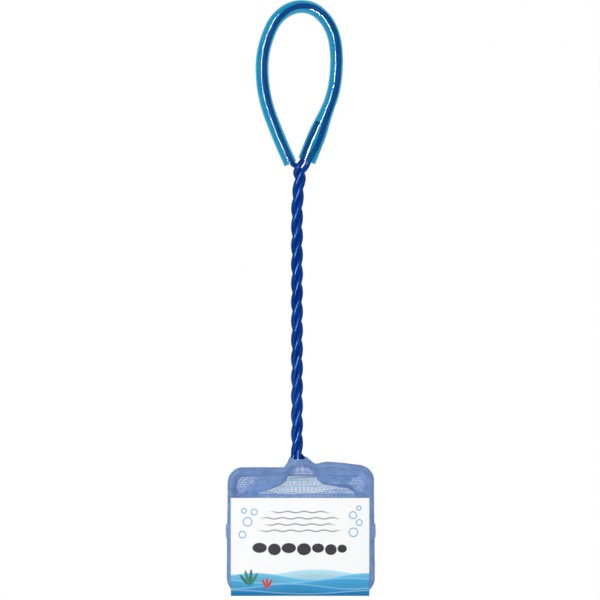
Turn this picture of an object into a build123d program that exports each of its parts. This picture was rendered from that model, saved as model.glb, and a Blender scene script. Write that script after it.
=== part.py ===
"""Aquarium fish net: coated wire handle and frame, vinyl grip tube, netting bag and header card.

The net hangs by its finger loop. The origin is the inside top of the loop, on the shaft's axis,
+Z runs up the handle, +X to the right seen from the front, and the bag reaches back along +Y.
"""

from build123d import *
from math import ceil, cos, dist, pi, radians, sin, sqrt
import os

os.makedirs("parts", exist_ok=True)

# Driving dimensions, in millimetres and degrees

# Wire: a steel core with a vinyl coat, one length for the whole handle and frame
WIRE_D = 2.8
CORE_D = 2.0
STRAND_GAP = 0.18

# Grip tube on the finger loop
TUBE_OD = 6.7
TUBE_BORE = 5.6
BORE_CLEARANCE = 0.2
TUBE_FLAT_LENGTH = 19.0
TUBE_FLAT_STEPS = 4
OVAL_SLACK = 0.55

# Finger loop, along the middle of the tube
LOOP_TOP_X = 2.6
LOOP_LEFT_REACH = 18.0
LOOP_RIGHT_REACH = 20.4
LOOP_SHOULDER_DROP = 10.5
LEFT_SHOULDER_IN = 5.0
LEFT_SHOULDER_TILT = 26.0
RIGHT_SHOULDER_IN = 3.3
RIGHT_SHOULDER_TILT = 26.0
LEFT_WIDEST_DROP = 31.8
RIGHT_WIDEST_DROP = 27.7
LEFT_LEG_LENGTH = 49.1
LEFT_LEG_TILT = 25.0
LEFT_END_X = -3.4
RIGHT_LEG_LENGTH = 31.3
RIGHT_LEG_TILT = 21.7
RIGHT_LEG_DROP = 22.7
RIGHT_END_X = 5.05

# Wires inside the tube: the cut end beside the loop's own wire in the right leg
STUB_LENGTH = 21.0
STUB_MID_UP = 7.35
LOOP_MID_UP = 10.5
LEFT_LOW_UP = 8.4

# Places of the wires in wire diameters: sideways in the right leg, sideways and back where they
# leave it, sideways and back where they pass each other in the throat, and at the split
STUB_SPREAD = 0.9
STUB_TIP_SPREAD = 0.63
LOOP_SPREAD = 0.72
STUB_EXIT = (-0.77, -0.063)
RIGHT_EXIT = (0.36, 0.031)
STUB_PASS = (-0.25, -0.72)
RIGHT_PASS = (1.2, -0.063)
LEFT_PASS = (-0.45, 0.783)
WIRE_END_SHIFT = (-0.05, -0.08)
LEFT_HEM_OUT = 0.14
LEFT_HEM_TURN = 0.3
RIGHT_HEM_OUT = 0.95

# Places of the single wire in the bore, as shares of its free play there
LEFT_EXIT = (0.8, 0.45)
LEFT_LOW_IN = 0.85
LOOP_WIRE_RISE = 0.3

# Twisted shaft
SHAFT_LENGTH = 141.0
TWIST_PITCH = 29.1
SPLIT_TURN = 0.84536
TWIST_START = -118.8
TWIST_NODES_PER_TURN = 4
THROAT_LENGTH = 9.6
THROAT_PASS_SHARE = 0.68
THROAT_TURN_SHARE = 0.37
THROAT_TURN = 62.0
THROAT_SPREAD = 0.25
SHAFT_LEAN = 1.4
SHAFT_LEAN_LENGTH = 20.0

# Net frame, along the middle of the wire
FRAME_WIDTH = 72.5
FRAME_HEIGHT = 61.8
FRAME_OFFSET_X = 1.95
FRAME_SPLAY = 0.5
TOP_CORNER_R = 6.0
BOTTOM_CORNER_R = 7.0
NECK_LENGTH = 9.1
NECK_HALF_LEFT = 7.2
NECK_HALF_RIGHT = 9.8
RIGHT_BAR_RISE = 2.8
RIGHT_CORNER_RISE = 1.26
RIGHT_BAR_DIP = 0.9
RIGHT_BAR_DIP_LENGTH = 5.6
WIRE_END_LENGTH = 4.3

# Netting
NET_WALL = 0.6
HEM_WALL = 0.3
HEM_CLEARANCE = 0.05
SEAT_CLEARANCE = 0.1
LEFT_HEM_START = 2.8
RIGHT_HEM_START = 3.2
BAG_DEPTH = 60.0
BAG_END_WIDTH = 55.0
BAG_END_HEIGHT = 8.0
BAG_END_DROP = 14.0
BAG_ROUNDING = 9.0
BAG_ROUNDING_LIMIT = 0.45
BAG_SECTIONS = (0, 0.3, 0.6, 0.85, 1)
BAG_TOP_CURVE = 1.6
BAG_BOTTOM_CURVE = 2.0
BAG_SIDE_CURVE = 2.2
MOUTH_CORNER_R = 5.2
MESH_ACROSS = 10
MESH_DEEP = 11
MESH_BAR = 1.5
MESH_MARGIN = 4.0
WEB_WALL = 0.5
THREAD_D = 0.5
SEAM_WIDTH = 1.4
SEAM_HEIGHT = 1.0
TACK_LENGTH = 7.0
TACK_WALL = 0.4
TACK_OUTWARD = 0.6
TACK_BACK = 0.35
TACK_ROUNDING = 0.6

# Header card
CARD_SIDE_INSET = 0.65
CARD_SHIFT_X = -0.35
CARD_ABOVE_BAR = 48.1
CARD_WALL = 0.4
CARD_CLEARANCE = 0.4
CARD_LIP = 1.2

# Steps of the searches for the least gap between wires
GAP_STEP = 0.25
GAP_STEPS = 160
GAP_SAMPLES = 6

# Values worked out from the driving dimensions
wire_r = WIRE_D / 2
tube_r = TUBE_OD / 2
bore_r = TUBE_BORE / 2
tube_wall = tube_r - bore_r

# Whole turns nearest to the wanted pitch, so that the strands always leave the shaft at one angle
twist_turns = round(SHAFT_LENGTH / TWIST_PITCH - SPLIT_TURN) + SPLIT_TURN
twist_pitch = SHAFT_LENGTH / twist_turns
twist_rate = 2 * pi / twist_pitch


def helix_gap_share(radius):
    """Least distance between neighbouring strands of the twist, as a share of their level distance."""
    lead = twist_pitch / (2 * pi)
    turns = [radians(GAP_STEP * step) for step in range(GAP_STEPS)]
    least = min(
        sqrt(radius**2 * (2 - 2 * cos(2 * pi / 3 - turn)) + (lead * turn) ** 2) for turn in turns
    )
    return least / (radius * sqrt(3))


touching_r = (WIRE_D + STRAND_GAP) / sqrt(3)
strand_r = touching_r / helix_gap_share(touching_r)


def unit(x, y, z):
    """A direction of length one."""
    return Vector(x, y, z).normalized()


up = unit(0, 0, 1)
down = unit(0, 0, -1)
to_left = unit(-1, 0, 0)
to_right = unit(1, 0, 0)

# Loop: the middle of the tube lies in the XZ plane, its inside top at the origin's height
loop_top_z = tube_r
loop_top = Vector(LOOP_TOP_X, 0, loop_top_z)
left_shoulder = Vector(-LOOP_LEFT_REACH + LEFT_SHOULDER_IN, 0, loop_top_z - LOOP_SHOULDER_DROP)
left_widest = Vector(-LOOP_LEFT_REACH, 0, loop_top_z - LEFT_WIDEST_DROP)
left_end = Vector(LEFT_END_X, 0, left_widest.Z - LEFT_LEG_LENGTH)
right_shoulder = Vector(LOOP_RIGHT_REACH - RIGHT_SHOULDER_IN, 0, loop_top_z - LOOP_SHOULDER_DROP)
right_widest = Vector(LOOP_RIGHT_REACH, 0, loop_top_z - RIGHT_WIDEST_DROP)
left_shoulder_way = unit(sin(radians(LEFT_SHOULDER_TILT)), 0, cos(radians(LEFT_SHOULDER_TILT)))
right_shoulder_way = unit(
    sin(radians(RIGHT_SHOULDER_TILT)), 0, -cos(radians(RIGHT_SHOULDER_TILT))
)
right_leg_way = unit(-sin(radians(RIGHT_LEG_TILT)), 0, -cos(radians(RIGHT_LEG_TILT)))
right_leg_out = Vector(-right_leg_way.Z, 0, right_leg_way.X)
right_leg_top = Vector(
    RIGHT_END_X - right_leg_way.X * RIGHT_LEG_LENGTH, 0, right_widest.Z - RIGHT_LEG_DROP
)
right_end = right_leg_top + right_leg_way * RIGHT_LEG_LENGTH
left_leg_way = unit(sin(radians(LEFT_LEG_TILT)), 0, -cos(radians(LEFT_LEG_TILT)))
left_leg_in = Vector(-left_leg_way.Z, 0, left_leg_way.X)

# Shaft: the throat gathers the strands below the tube ends, then the twist runs down to the split
twist_top = right_end.Z - THROAT_LENGTH
throat_turn_up = THROAT_LENGTH * THROAT_TURN_SHARE
throat_pass_up = THROAT_LENGTH * THROAT_PASS_SHARE
split_z = twist_top - SHAFT_LENGTH
strand_phase = {"a": TWIST_START + 240, "b": TWIST_START, "c": TWIST_START + 120}

# Frame: wire middle lines
frame_top = split_z - NECK_LENGTH
frame_bottom = frame_top - FRAME_HEIGHT
frame_left = FRAME_OFFSET_X - FRAME_WIDTH / 2
frame_right = FRAME_OFFSET_X + FRAME_WIDTH / 2
right_bar_z = frame_top + RIGHT_BAR_RISE
hem_r = wire_r + HEM_CLEARANCE + HEM_WALL


def straight_between(start, end):
    """Whether a node runs straight on to the next one."""
    chord = (end[0] - start[0]).normalized()
    return min(chord.dot(start[1]), chord.dot(end[1])) > 1 - 1e-7


def biarc_joint(start, end):
    """The point where two arcs meet that join two nodes smoothly.

    Each node is a point and the direction of the wire there.
    """
    span = end[0] - start[0]
    ways = start[1] + end[1]
    square = 4 - ways.dot(ways)
    along = span.dot(ways)
    reach = span.dot(span)
    if square < 1e-9:
        arm = reach / (2 * along)
    else:
        arm = (sqrt(along**2 + square * reach) - along) / square
    return (start[0] + start[1] * arm + end[0] - end[1] * arm) / 2


def smooth_path(nodes):
    """A wire's middle line through the nodes, of straight runs and pairs of tangent arcs."""
    runs = []
    for start, end in zip(nodes, nodes[1:]):
        if straight_between(start, end):
            runs.append(Line(start[0], end[0]))
            continue
        middle = biarc_joint(start, end)
        runs.append(TangentArc(start[0], middle, tangent=start[1]))
        runs.append(TangentArc(middle, end[0], tangent=runs[-1] % 1))
    return Wire(runs)


def ring_section(path, outer_r, inner_r=0.0):
    """A round section, hollow where it has an inner radius, square to the start of a path."""
    with BuildSketch(Plane(origin=path @ 0, z_dir=path % 0)) as section:
        Circle(outer_r)
        if inner_r > 0:
            Circle(inner_r, mode=Mode.SUBTRACT)
    return section.sketch


def turned(nodes):
    """The same nodes, run the other way."""
    return [(point, way * -1) for point, way in reversed(nodes)]


def twist_node(strand, z):
    """A strand's place and its downward direction at a height on the twist."""
    angle = radians(strand_phase[strand]) + twist_rate * (z - twist_top)
    lean_share = max(0.0, 1 + (z - twist_top) / SHAFT_LEAN_LENGTH)
    lean = SHAFT_LEAN * lean_share**2
    lean_rate = 2 * SHAFT_LEAN * lean_share / SHAFT_LEAN_LENGTH
    point = Vector(lean + strand_r * cos(angle), strand_r * sin(angle), z)
    sweep_rate = strand_r * twist_rate
    return point, unit(sweep_rate * sin(angle) - lean_rate, -sweep_rate * cos(angle), -1)


def twist_nodes(strand, low_z):
    """A strand's nodes, evenly apart, from the top of the twist down to a height."""
    drop = twist_top - low_z
    steps = ceil(TWIST_NODES_PER_TURN * drop / twist_pitch)
    return [twist_node(strand, twist_top - drop * step / steps) for step in range(steps + 1)]


def throat_node(strand):
    """A strand's place where the throat has turned past the top of the twist."""
    angle = radians(strand_phase[strand] + THROAT_TURN)
    throat_r = strand_r + THROAT_SPREAD
    point = Vector(
        SHAFT_LEAN + throat_r * cos(angle), throat_r * sin(angle), twist_top + throat_turn_up
    )
    sweep_rate = throat_r * radians(THROAT_TURN) / throat_turn_up
    return point, unit(sweep_rate * sin(angle), -sweep_rate * cos(angle), -1)


def way_between(before, after):
    """The direction from one point to another."""
    return (after - before).normalized()


def tube_exit(end, sideways, place, size):
    """Where a wire leaves the end of a leg of the tube, with its place in multiples of a size."""
    return end + sideways * (size * place[0]) + Vector(0, size * place[1], 0)


def throat_pass(place):
    """Where a wire passes the others between the tube and the twist."""
    return Vector(SHAFT_LEAN + WIRE_D * place[0], WIRE_D * place[1], twist_top + throat_pass_up)


# Where each wire leaves the tube, and where the strands pass each other above the throat
wire_lean = bore_r - wire_r - BORE_CLEARANCE
stub_exit = tube_exit(right_end, right_leg_out, STUB_EXIT, WIRE_D)
loop_right_exit = tube_exit(right_end, right_leg_out, RIGHT_EXIT, WIRE_D)
loop_left_exit = tube_exit(left_end, left_leg_in, LEFT_EXIT, wire_lean)
loop_left_low = left_end - left_leg_way * LEFT_LOW_UP + left_leg_in * (wire_lean * LEFT_LOW_IN)
stub_pass = throat_pass(STUB_PASS)
loop_right_pass = throat_pass(RIGHT_PASS)
loop_left_pass = throat_pass(LEFT_PASS)

# Wire nodes from the cut end in the right leg, round the frame and the loop, to the other end
stub_spread = WIRE_D * STUB_SPREAD
stub_mid = right_end - right_leg_way * STUB_MID_UP - right_leg_out * stub_spread
stub_tip = right_end - right_leg_way * STUB_LENGTH - right_leg_out * (WIRE_D * STUB_TIP_SPREAD)
strand_a_nodes = [
    (stub_tip, way_between(stub_tip, stub_mid)),
    (stub_mid, right_leg_way),
    (stub_exit, way_between(stub_mid, stub_pass)),
    (stub_pass, way_between(stub_exit, throat_node("a")[0])),
    throat_node("a"),
] + twist_nodes("a", split_z)

strand_c_nodes = [
    (loop_left_exit, way_between(loop_left_low, loop_left_pass)),
    (loop_left_pass, way_between(loop_left_exit, throat_node("c")[0])),
    throat_node("c"),
] + twist_nodes("c", split_z)

split_b = twist_node("b", split_z)
wire_end = split_b[0] + Vector(
    WIRE_D * WIRE_END_SHIFT[0], WIRE_D * WIRE_END_SHIFT[1], -WIRE_END_LENGTH
)
strand_b_nodes = (
    [
        (loop_right_exit, way_between(loop_right_exit, loop_right_pass)),
        (loop_right_pass, way_between(loop_right_exit, throat_node("b")[0])),
        throat_node("b"),
    ]
    + twist_nodes("b", split_z)
    + [(wire_end, down)]
)

lean = Vector(wire_lean, 0, wire_lean * LOOP_WIRE_RISE)
leg_mid = right_end - right_leg_way * LOOP_MID_UP + right_leg_out * (WIRE_D * LOOP_SPREAD)
leg_top = right_leg_top + right_leg_out * wire_lean
loop_nodes = [
    turned(strand_c_nodes[:1])[0],
    (loop_left_low, left_leg_way * -1),
    (left_widest + lean, up),
    (left_shoulder + lean, left_shoulder_way),
    (loop_top + lean, to_right),
    (right_shoulder + lean, right_shoulder_way),
    (right_widest + lean, down),
    (leg_top, right_leg_way),
    (leg_mid, right_leg_way),
    strand_b_nodes[0],
]

# Frame nodes, from the foot of strand a round to the foot of strand c
left_foot = strand_a_nodes[-1]
right_foot = strand_c_nodes[-1]
left_hem = Vector(
    left_foot[0].X - WIRE_D * LEFT_HEM_OUT, left_foot[0].Y / 2, split_z - LEFT_HEM_START
)
right_hem = Vector(
    right_foot[0].X + WIRE_D * RIGHT_HEM_OUT, right_foot[0].Y / 2, split_z - RIGHT_HEM_START
)
left_top_side = Vector(frame_left + FRAME_SPLAY, 0, frame_top - TOP_CORNER_R)
left_low_side = Vector(frame_left, 0, frame_bottom + BOTTOM_CORNER_R)
right_low_side = Vector(frame_right, 0, frame_bottom + BOTTOM_CORNER_R)
right_corner_z = frame_top + RIGHT_CORNER_RISE
right_top_side = Vector(frame_right - FRAME_SPLAY, 0, right_corner_z - TOP_CORNER_R)
right_bar_end = Vector(frame_right - FRAME_SPLAY - TOP_CORNER_R, 0, right_corner_z)
right_bar_high = Vector(NECK_HALF_RIGHT + RIGHT_BAR_DIP_LENGTH, 0, right_bar_z)
right_bar_low = Vector(NECK_HALF_RIGHT, 0, right_bar_z - RIGHT_BAR_DIP)
left_way = way_between(left_top_side, left_low_side)
right_way = way_between(right_low_side, right_top_side)
left_bar = Vector(-NECK_HALF_LEFT, 0, frame_top)
hem_nodes = [
    (left_hem, way_between(left_foot[0], left_hem + to_left * (WIRE_D * LEFT_HEM_TURN))),
    (left_bar, to_left),
    (Vector(left_top_side.X + TOP_CORNER_R, 0, frame_top), to_left),
    (left_top_side, left_way),
    (left_low_side, left_way),
    (Vector(frame_left + BOTTOM_CORNER_R, 0, frame_bottom), to_right),
    (Vector(frame_right - BOTTOM_CORNER_R, 0, frame_bottom), to_right),
    (right_low_side, right_way),
    (right_top_side, right_way),
    (right_bar_end, way_between(right_bar_end, right_bar_high)),
    (right_bar_high, to_left),
    (right_bar_low, to_left),
    (right_hem, way_between(right_bar_low, right_foot[0])),
]
frame_nodes = [left_foot] + hem_nodes + [turned([right_foot])[0]]

loop_path = smooth_path(loop_nodes)
strand_a_path = smooth_path(strand_a_nodes)
strand_b_path = smooth_path(strand_b_nodes)
strand_c_path = smooth_path(strand_c_nodes)
frame_path = smooth_path(frame_nodes)
hem_path = smooth_path(hem_nodes)
whole_path = smooth_path(
    strand_a_nodes[:-1]
    + frame_nodes[:-1]
    + turned(strand_c_nodes)[:-1]
    + loop_nodes[:-1]
    + strand_b_nodes
)


def path_points(path):
    """Points along a path, a few on each of its runs and arcs."""
    shares = [step / GAP_SAMPLES for step in range(GAP_SAMPLES)]
    return [tuple(edge @ share) for edge in path.edges() for share in shares]


def least_gap(first, second):
    """Least gap between two round wires, from points along both."""
    first_points = path_points(first)
    second_points = path_points(second)
    return min(dist(near, far) for near in first_points for far in second_points) - WIRE_D


print("wire length", round(whole_path.length, 1), "strand radius", round(strand_r, 3))
print("least gap of strands a and b", round(least_gap(strand_a_path, strand_b_path), 3))
print("least gap of strands b and c", round(least_gap(strand_b_path, strand_c_path), 3))
print("least gap of strands c and a", round(least_gap(strand_c_path, strand_a_path), 3))

# Steel core: one length through the whole handle and frame
with BuildPart() as steel_core:
    sweep(sections=ring_section(whole_path, CORE_D / 2), path=whole_path)

# Vinyl coat: five stretches that meet end to end
with BuildPart() as loop_coat:
    sweep(sections=ring_section(loop_path, wire_r, CORE_D / 2), path=loop_path)

with BuildPart() as shaft_coat_a:
    sweep(sections=ring_section(strand_a_path, wire_r, CORE_D / 2), path=strand_a_path)

with BuildPart() as shaft_coat_b:
    sweep(sections=ring_section(strand_b_path, wire_r, CORE_D / 2), path=strand_b_path)

with BuildPart() as shaft_coat_c:
    sweep(sections=ring_section(strand_c_path, wire_r, CORE_D / 2), path=strand_c_path)

with BuildPart() as frame_coat:
    sweep(sections=ring_section(frame_path, wire_r, CORE_D / 2), path=frame_path)

# Grip tube: round over the loop, pressed oval where the right leg holds two wires
oval_bore_x = stub_spread + wire_r + BORE_CLEARANCE
oval_bore_y = OVAL_SLACK + wire_r + BORE_CLEARANCE
tube_path = smooth_path(
    [
        (left_end, left_leg_way * -1),
        (left_widest, up),
        (left_shoulder, left_shoulder_way),
        (loop_top, to_right),
        (right_shoulder, right_shoulder_way),
        (right_widest, down),
        (right_leg_top, right_leg_way),
    ]
)


def leg_plane(along):
    """A plane across the right leg, with its X axis in the plane of the loop."""
    return Plane(origin=right_leg_top + right_leg_way * along, x_dir=right_leg_out, z_dir=right_leg_way)


def leg_sections(grow):
    """Sections of the right leg's bore as it goes from round to oval, grown by a wall."""
    sections = []
    for step in range(TUBE_FLAT_STEPS + 1):
        share = step / TUBE_FLAT_STEPS
        eased = share * share * (3 - 2 * share)
        with BuildSketch(leg_plane(TUBE_FLAT_LENGTH * share)) as section:
            if step == 0:
                Circle(bore_r + grow)
            else:
                Ellipse(
                    bore_r + (oval_bore_x - bore_r) * eased + grow,
                    bore_r + (oval_bore_y - bore_r) * eased + grow,
                )
        sections.append(section.sketch)
    return sections


with BuildPart() as grip_tube:
    sweep(sections=ring_section(tube_path, tube_r, bore_r), path=tube_path)
    loft(sections=leg_sections(tube_wall))
    loft(sections=leg_sections(0), mode=Mode.SUBTRACT)
    with BuildSketch(leg_plane(TUBE_FLAT_LENGTH)):
        Ellipse(oval_bore_x + tube_wall, oval_bore_y + tube_wall)
        Ellipse(oval_bore_x, oval_bore_y, mode=Mode.SUBTRACT)
    extrude(amount=RIGHT_LEG_LENGTH - TUBE_FLAT_LENGTH)

# Bag: sections from the mouth, which sits inside the hem, to the drooping end
mouth_width = FRAME_WIDTH - 2 * (FRAME_SPLAY + hem_r + SEAT_CLEARANCE)
mouth_top = frame_top - hem_r - SEAT_CLEARANCE
mouth_bottom = frame_bottom + hem_r + SEAT_CLEARANCE
mouth_middle = (mouth_top + mouth_bottom) / 2
end_top = mouth_middle - BAG_END_DROP + BAG_END_HEIGHT / 2
end_bottom = mouth_middle - BAG_END_DROP - BAG_END_HEIGHT / 2


def pouch_sections(grow):
    """Sections of the bag, from the mouth to its end, grown outwards by an amount."""
    sections = []
    for share in BAG_SECTIONS:
        top = mouth_top + (end_top - mouth_top) * share**BAG_TOP_CURVE + grow
        bottom = mouth_bottom + (end_bottom - mouth_bottom) * share**BAG_BOTTOM_CURVE - grow
        width = mouth_width + (BAG_END_WIDTH - mouth_width) * share**BAG_SIDE_CURVE + 2 * grow
        depth = BAG_DEPTH * share + (grow if share == 1 else 0)
        corner_r = min(MOUTH_CORNER_R + BAG_ROUNDING * share, BAG_ROUNDING_LIMIT * (top - bottom))
        plane = Plane(
            origin=(FRAME_OFFSET_X, depth, (top + bottom) / 2), x_dir=(1, 0, 0), z_dir=(0, -1, 0)
        )
        with BuildSketch(plane) as section:
            RectangleRounded(width, top - bottom, corner_r)
        sections.append(section.sketch)
    return sections


mesh_pitch_x = (BAG_END_WIDTH - 2 * MESH_MARGIN) / MESH_ACROSS
mesh_pitch_y = (BAG_DEPTH - 2 * MESH_MARGIN) / MESH_DEEP
seam_end = mouth_middle - BAG_END_DROP


def mesh_openings(height):
    """The plan of a panel's grid of openings, which stands for its mesh, at a height."""
    with BuildSketch(Plane(origin=(FRAME_OFFSET_X, BAG_DEPTH / 2, height))) as plan:
        with GridLocations(mesh_pitch_x, mesh_pitch_y, MESH_ACROSS, MESH_DEEP):
            Rectangle(mesh_pitch_x - MESH_BAR, mesh_pitch_y - MESH_BAR)
    return plan.sketch


seam_plane = Plane(
    origin=(FRAME_OFFSET_X, 0, mouth_middle), x_dir=(1, 0, 0), z_dir=(0, BAG_END_DROP, BAG_DEPTH)
)
side_plane = Plane.XY.offset(mouth_middle)
neck_plane = Plane.YZ

# Hem: the netting's tunnel round the frame wire, in stretches that meet at the side seams
with BuildPart() as hem_upper_left:
    sweep(sections=ring_section(hem_path, hem_r, wire_r + HEM_CLEARANCE), path=hem_path)
    split(bisect_by=side_plane, keep=Keep.TOP)
    split(bisect_by=neck_plane, keep=Keep.BOTTOM)

with BuildPart() as hem_upper_right:
    sweep(sections=ring_section(hem_path, hem_r, wire_r + HEM_CLEARANCE), path=hem_path)
    split(bisect_by=side_plane, keep=Keep.TOP)
    split(bisect_by=neck_plane, keep=Keep.TOP)

with BuildPart() as hem_lower:
    sweep(sections=ring_section(hem_path, hem_r, wire_r + HEM_CLEARANCE), path=hem_path)
    split(bisect_by=side_plane, keep=Keep.BOTTOM)

with BuildPart() as bag_upper_panel:
    loft(sections=pouch_sections(0))
    loft(sections=pouch_sections(-NET_WALL), mode=Mode.SUBTRACT)
    split(bisect_by=seam_plane, keep=Keep.TOP)
    extrude(mesh_openings(seam_end), amount=mouth_top - seam_end, mode=Mode.SUBTRACT)

with BuildPart() as bag_lower_panel:
    loft(sections=pouch_sections(0))
    loft(sections=pouch_sections(-NET_WALL), mode=Mode.SUBTRACT)
    split(bisect_by=seam_plane, keep=Keep.BOTTOM)
    extrude(mesh_openings(mouth_bottom), amount=mouth_middle - mouth_bottom, mode=Mode.SUBTRACT)

# Seam: a ridge of overlocked edges outside the bag, from one side of the hem round to the other
with BuildPart() as bag_seam:
    loft(sections=pouch_sections(SEAT_CLEARANCE + SEAM_HEIGHT))
    loft(sections=pouch_sections(SEAT_CLEARANCE), mode=Mode.SUBTRACT)
    split(bisect_by=seam_plane.offset(SEAM_WIDTH / 2), keep=Keep.BOTTOM)
    split(bisect_by=seam_plane.offset(-SEAM_WIDTH / 2), keep=Keep.TOP)
    split(bisect_by=Plane.XZ.offset(-hem_r - SEAT_CLEARANCE), keep=Keep.BOTTOM)


def tack_section(wire_x, outward):
    """A round section through a bar tack, at mid-height of the hem and set outwards from it."""
    place = (wire_x + outward * (TACK_OUTWARD - FRAME_SPLAY / 2), TACK_BACK, mouth_middle)
    with BuildSketch(Plane(origin=place, z_dir=(0, 0, 1))) as section:
        Circle(hem_r + TACK_WALL)
    return section.sketch


# Bar tacks: lumps of thread on the outside of the hem, where the seam meets it
with BuildPart() as left_tack:
    extrude(tack_section(frame_left, -1), amount=TACK_LENGTH / 2, both=True)
    fillet(left_tack.edges(), TACK_ROUNDING)
    sweep(
        sections=ring_section(hem_path, hem_r + HEM_CLEARANCE),
        path=hem_path,
        mode=Mode.SUBTRACT,
    )

with BuildPart() as right_tack:
    extrude(tack_section(frame_right, 1), amount=TACK_LENGTH / 2, both=True)
    fillet(right_tack.edges(), TACK_ROUNDING)
    sweep(
        sections=ring_section(hem_path, hem_r + HEM_CLEARANCE),
        path=hem_path,
        mode=Mode.SUBTRACT,
    )

# Neck web: netting between the two wires of the frame where they leave the shaft
with BuildPart() as neck_web:
    with BuildSketch(Plane.XZ.offset(-WEB_WALL / 2)):
        with BuildLine():
            Polyline(
                (left_bar.X - hem_r, mouth_top + SEAT_CLEARANCE),
                (left_bar.X, left_bar.Z),
                (left_hem.X, left_hem.Z),
                (right_hem.X, right_hem.Z),
                (right_bar_low.X, right_bar_low.Z),
                (right_bar_high.X, right_bar_high.Z),
                (right_bar_end.X, right_bar_end.Z),
                (right_bar_end.X, mouth_top + SEAT_CLEARANCE),
                close=True,
            )
        make_face()
    extrude(amount=WEB_WALL)
    sweep(
        sections=ring_section(frame_path, hem_r + HEM_CLEARANCE),
        path=frame_path,
        mode=Mode.SUBTRACT,
    )

# Hem thread: the row of stitches round the mouth, in front of the panels' edges
with BuildPart() as hem_thread:
    with BuildSketch(
        Plane(
            origin=(FRAME_OFFSET_X, -HEM_CLEARANCE, mouth_middle), x_dir=(1, 0, 0), z_dir=(0, -1, 0)
        )
    ):
        RectangleRounded(mouth_width, mouth_top - mouth_bottom, MOUTH_CORNER_R)
        offset(amount=-THREAD_D, mode=Mode.SUBTRACT)
    extrude(amount=THREAD_D)

# Header card: a flat panel in front of the mouth, with a lip folded under the bottom bar
lip_r = hem_r + CARD_CLEARANCE
card_width = FRAME_WIDTH - 2 * CARD_SIDE_INSET
card_left = FRAME_OFFSET_X + CARD_SHIFT_X - card_width / 2
with BuildPart() as header_card:
    with BuildSketch(Plane.YZ.offset(card_left)):
        with Locations((0, frame_bottom)):
            Circle(lip_r + CARD_WALL)
            Circle(lip_r, mode=Mode.SUBTRACT)
            Rectangle(
                2 * (lip_r + CARD_WALL),
                lip_r + CARD_WALL,
                align=(Align.CENTER, Align.MIN),
                mode=Mode.SUBTRACT,
            )
        with Locations((-lip_r, frame_bottom)):
            Rectangle(CARD_WALL, CARD_ABOVE_BAR, align=(Align.MAX, Align.MIN))
        with Locations((lip_r, frame_bottom)):
            Rectangle(CARD_WALL, CARD_LIP, align=(Align.MIN, Align.MIN))
    extrude(amount=card_width)

pieces = {
    "steel_core": steel_core,
    "loop_coat": loop_coat,
    "shaft_coat_a": shaft_coat_a,
    "shaft_coat_b": shaft_coat_b,
    "shaft_coat_c": shaft_coat_c,
    "frame_coat": frame_coat,
    "grip_tube": grip_tube,
    "hem_upper_left": hem_upper_left,
    "hem_upper_right": hem_upper_right,
    "hem_lower": hem_lower,
    "neck_web": neck_web,
    "bag_upper_panel": bag_upper_panel,
    "bag_lower_panel": bag_lower_panel,
    "bag_seam": bag_seam,
    "left_tack": left_tack,
    "right_tack": right_tack,
    "hem_thread": hem_thread,
    "header_card": header_card,
}
for name, piece in pieces.items():
    piece.part.label = name
    export_step(piece.part, f"parts/{name}.step")
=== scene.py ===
"""Aquarium fish net: netting, stitching, finishes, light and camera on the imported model.

The net hangs by its finger loop with its mouth to the front. The origin is the inside top of the
loop, +Z runs up the handle and the bag reaches back along +Y. Sizes are in metres, or in
millimetres where a docstring says so.
"""

import logging
from bisect import bisect_right
from dataclasses import dataclass
from enum import Enum
from functools import cached_property, partial, reduce
from math import cos, exp, pi, radians, sin, sqrt, tan
from typing import Any, Callable, Sequence, Union

import bmesh
import bpy
from mathutils import Matrix, Vector, noise
from mathutils.geometry import interpolate_bezier


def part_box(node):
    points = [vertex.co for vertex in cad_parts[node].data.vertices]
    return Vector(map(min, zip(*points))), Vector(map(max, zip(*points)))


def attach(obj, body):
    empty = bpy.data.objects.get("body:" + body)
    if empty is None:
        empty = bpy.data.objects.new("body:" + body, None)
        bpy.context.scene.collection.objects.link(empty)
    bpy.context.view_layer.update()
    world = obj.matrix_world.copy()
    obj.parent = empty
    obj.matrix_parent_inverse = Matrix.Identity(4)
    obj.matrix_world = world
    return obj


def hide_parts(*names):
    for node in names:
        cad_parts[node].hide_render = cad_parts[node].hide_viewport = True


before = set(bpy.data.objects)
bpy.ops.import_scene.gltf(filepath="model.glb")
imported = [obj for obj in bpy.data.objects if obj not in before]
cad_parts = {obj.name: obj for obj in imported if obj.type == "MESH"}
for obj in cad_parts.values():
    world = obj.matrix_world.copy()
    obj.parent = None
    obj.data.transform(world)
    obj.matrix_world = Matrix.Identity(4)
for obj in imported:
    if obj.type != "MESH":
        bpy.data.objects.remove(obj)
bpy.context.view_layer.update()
MM = 0.001
RELIEF = 0.03 * MM
WHITE = (1, 1, 1, 1)
LOG = logging.getLogger("fish_net")

Mesh = bmesh.types.BMesh
Material = bpy.types.Material
Socket = bpy.types.NodeSocket
Pair = tuple[float, float]
Triple = tuple[float, float, float]
Rows = tuple[tuple[Any, ...], ...]
Sockets = dict[Any, Any]
Tint = Union[Triple, Socket]
Number = Union["Signal", float]
Shape = Callable[[float, float], Vector]


class Held(Enum):
    """How a sheet of netting is held."""

    GATHERED = "gathered"
    FOLDED = "folded"
    STRETCHED = "stretched"


class Glow(Enum):
    """What a lamp does: show in reflections or light surfaces."""

    GLINT = "glint"
    SOFT = "soft"


class Side(Enum):
    """A side of the net, seen from the front."""

    LEFT = -1
    RIGHT = 1


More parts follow.
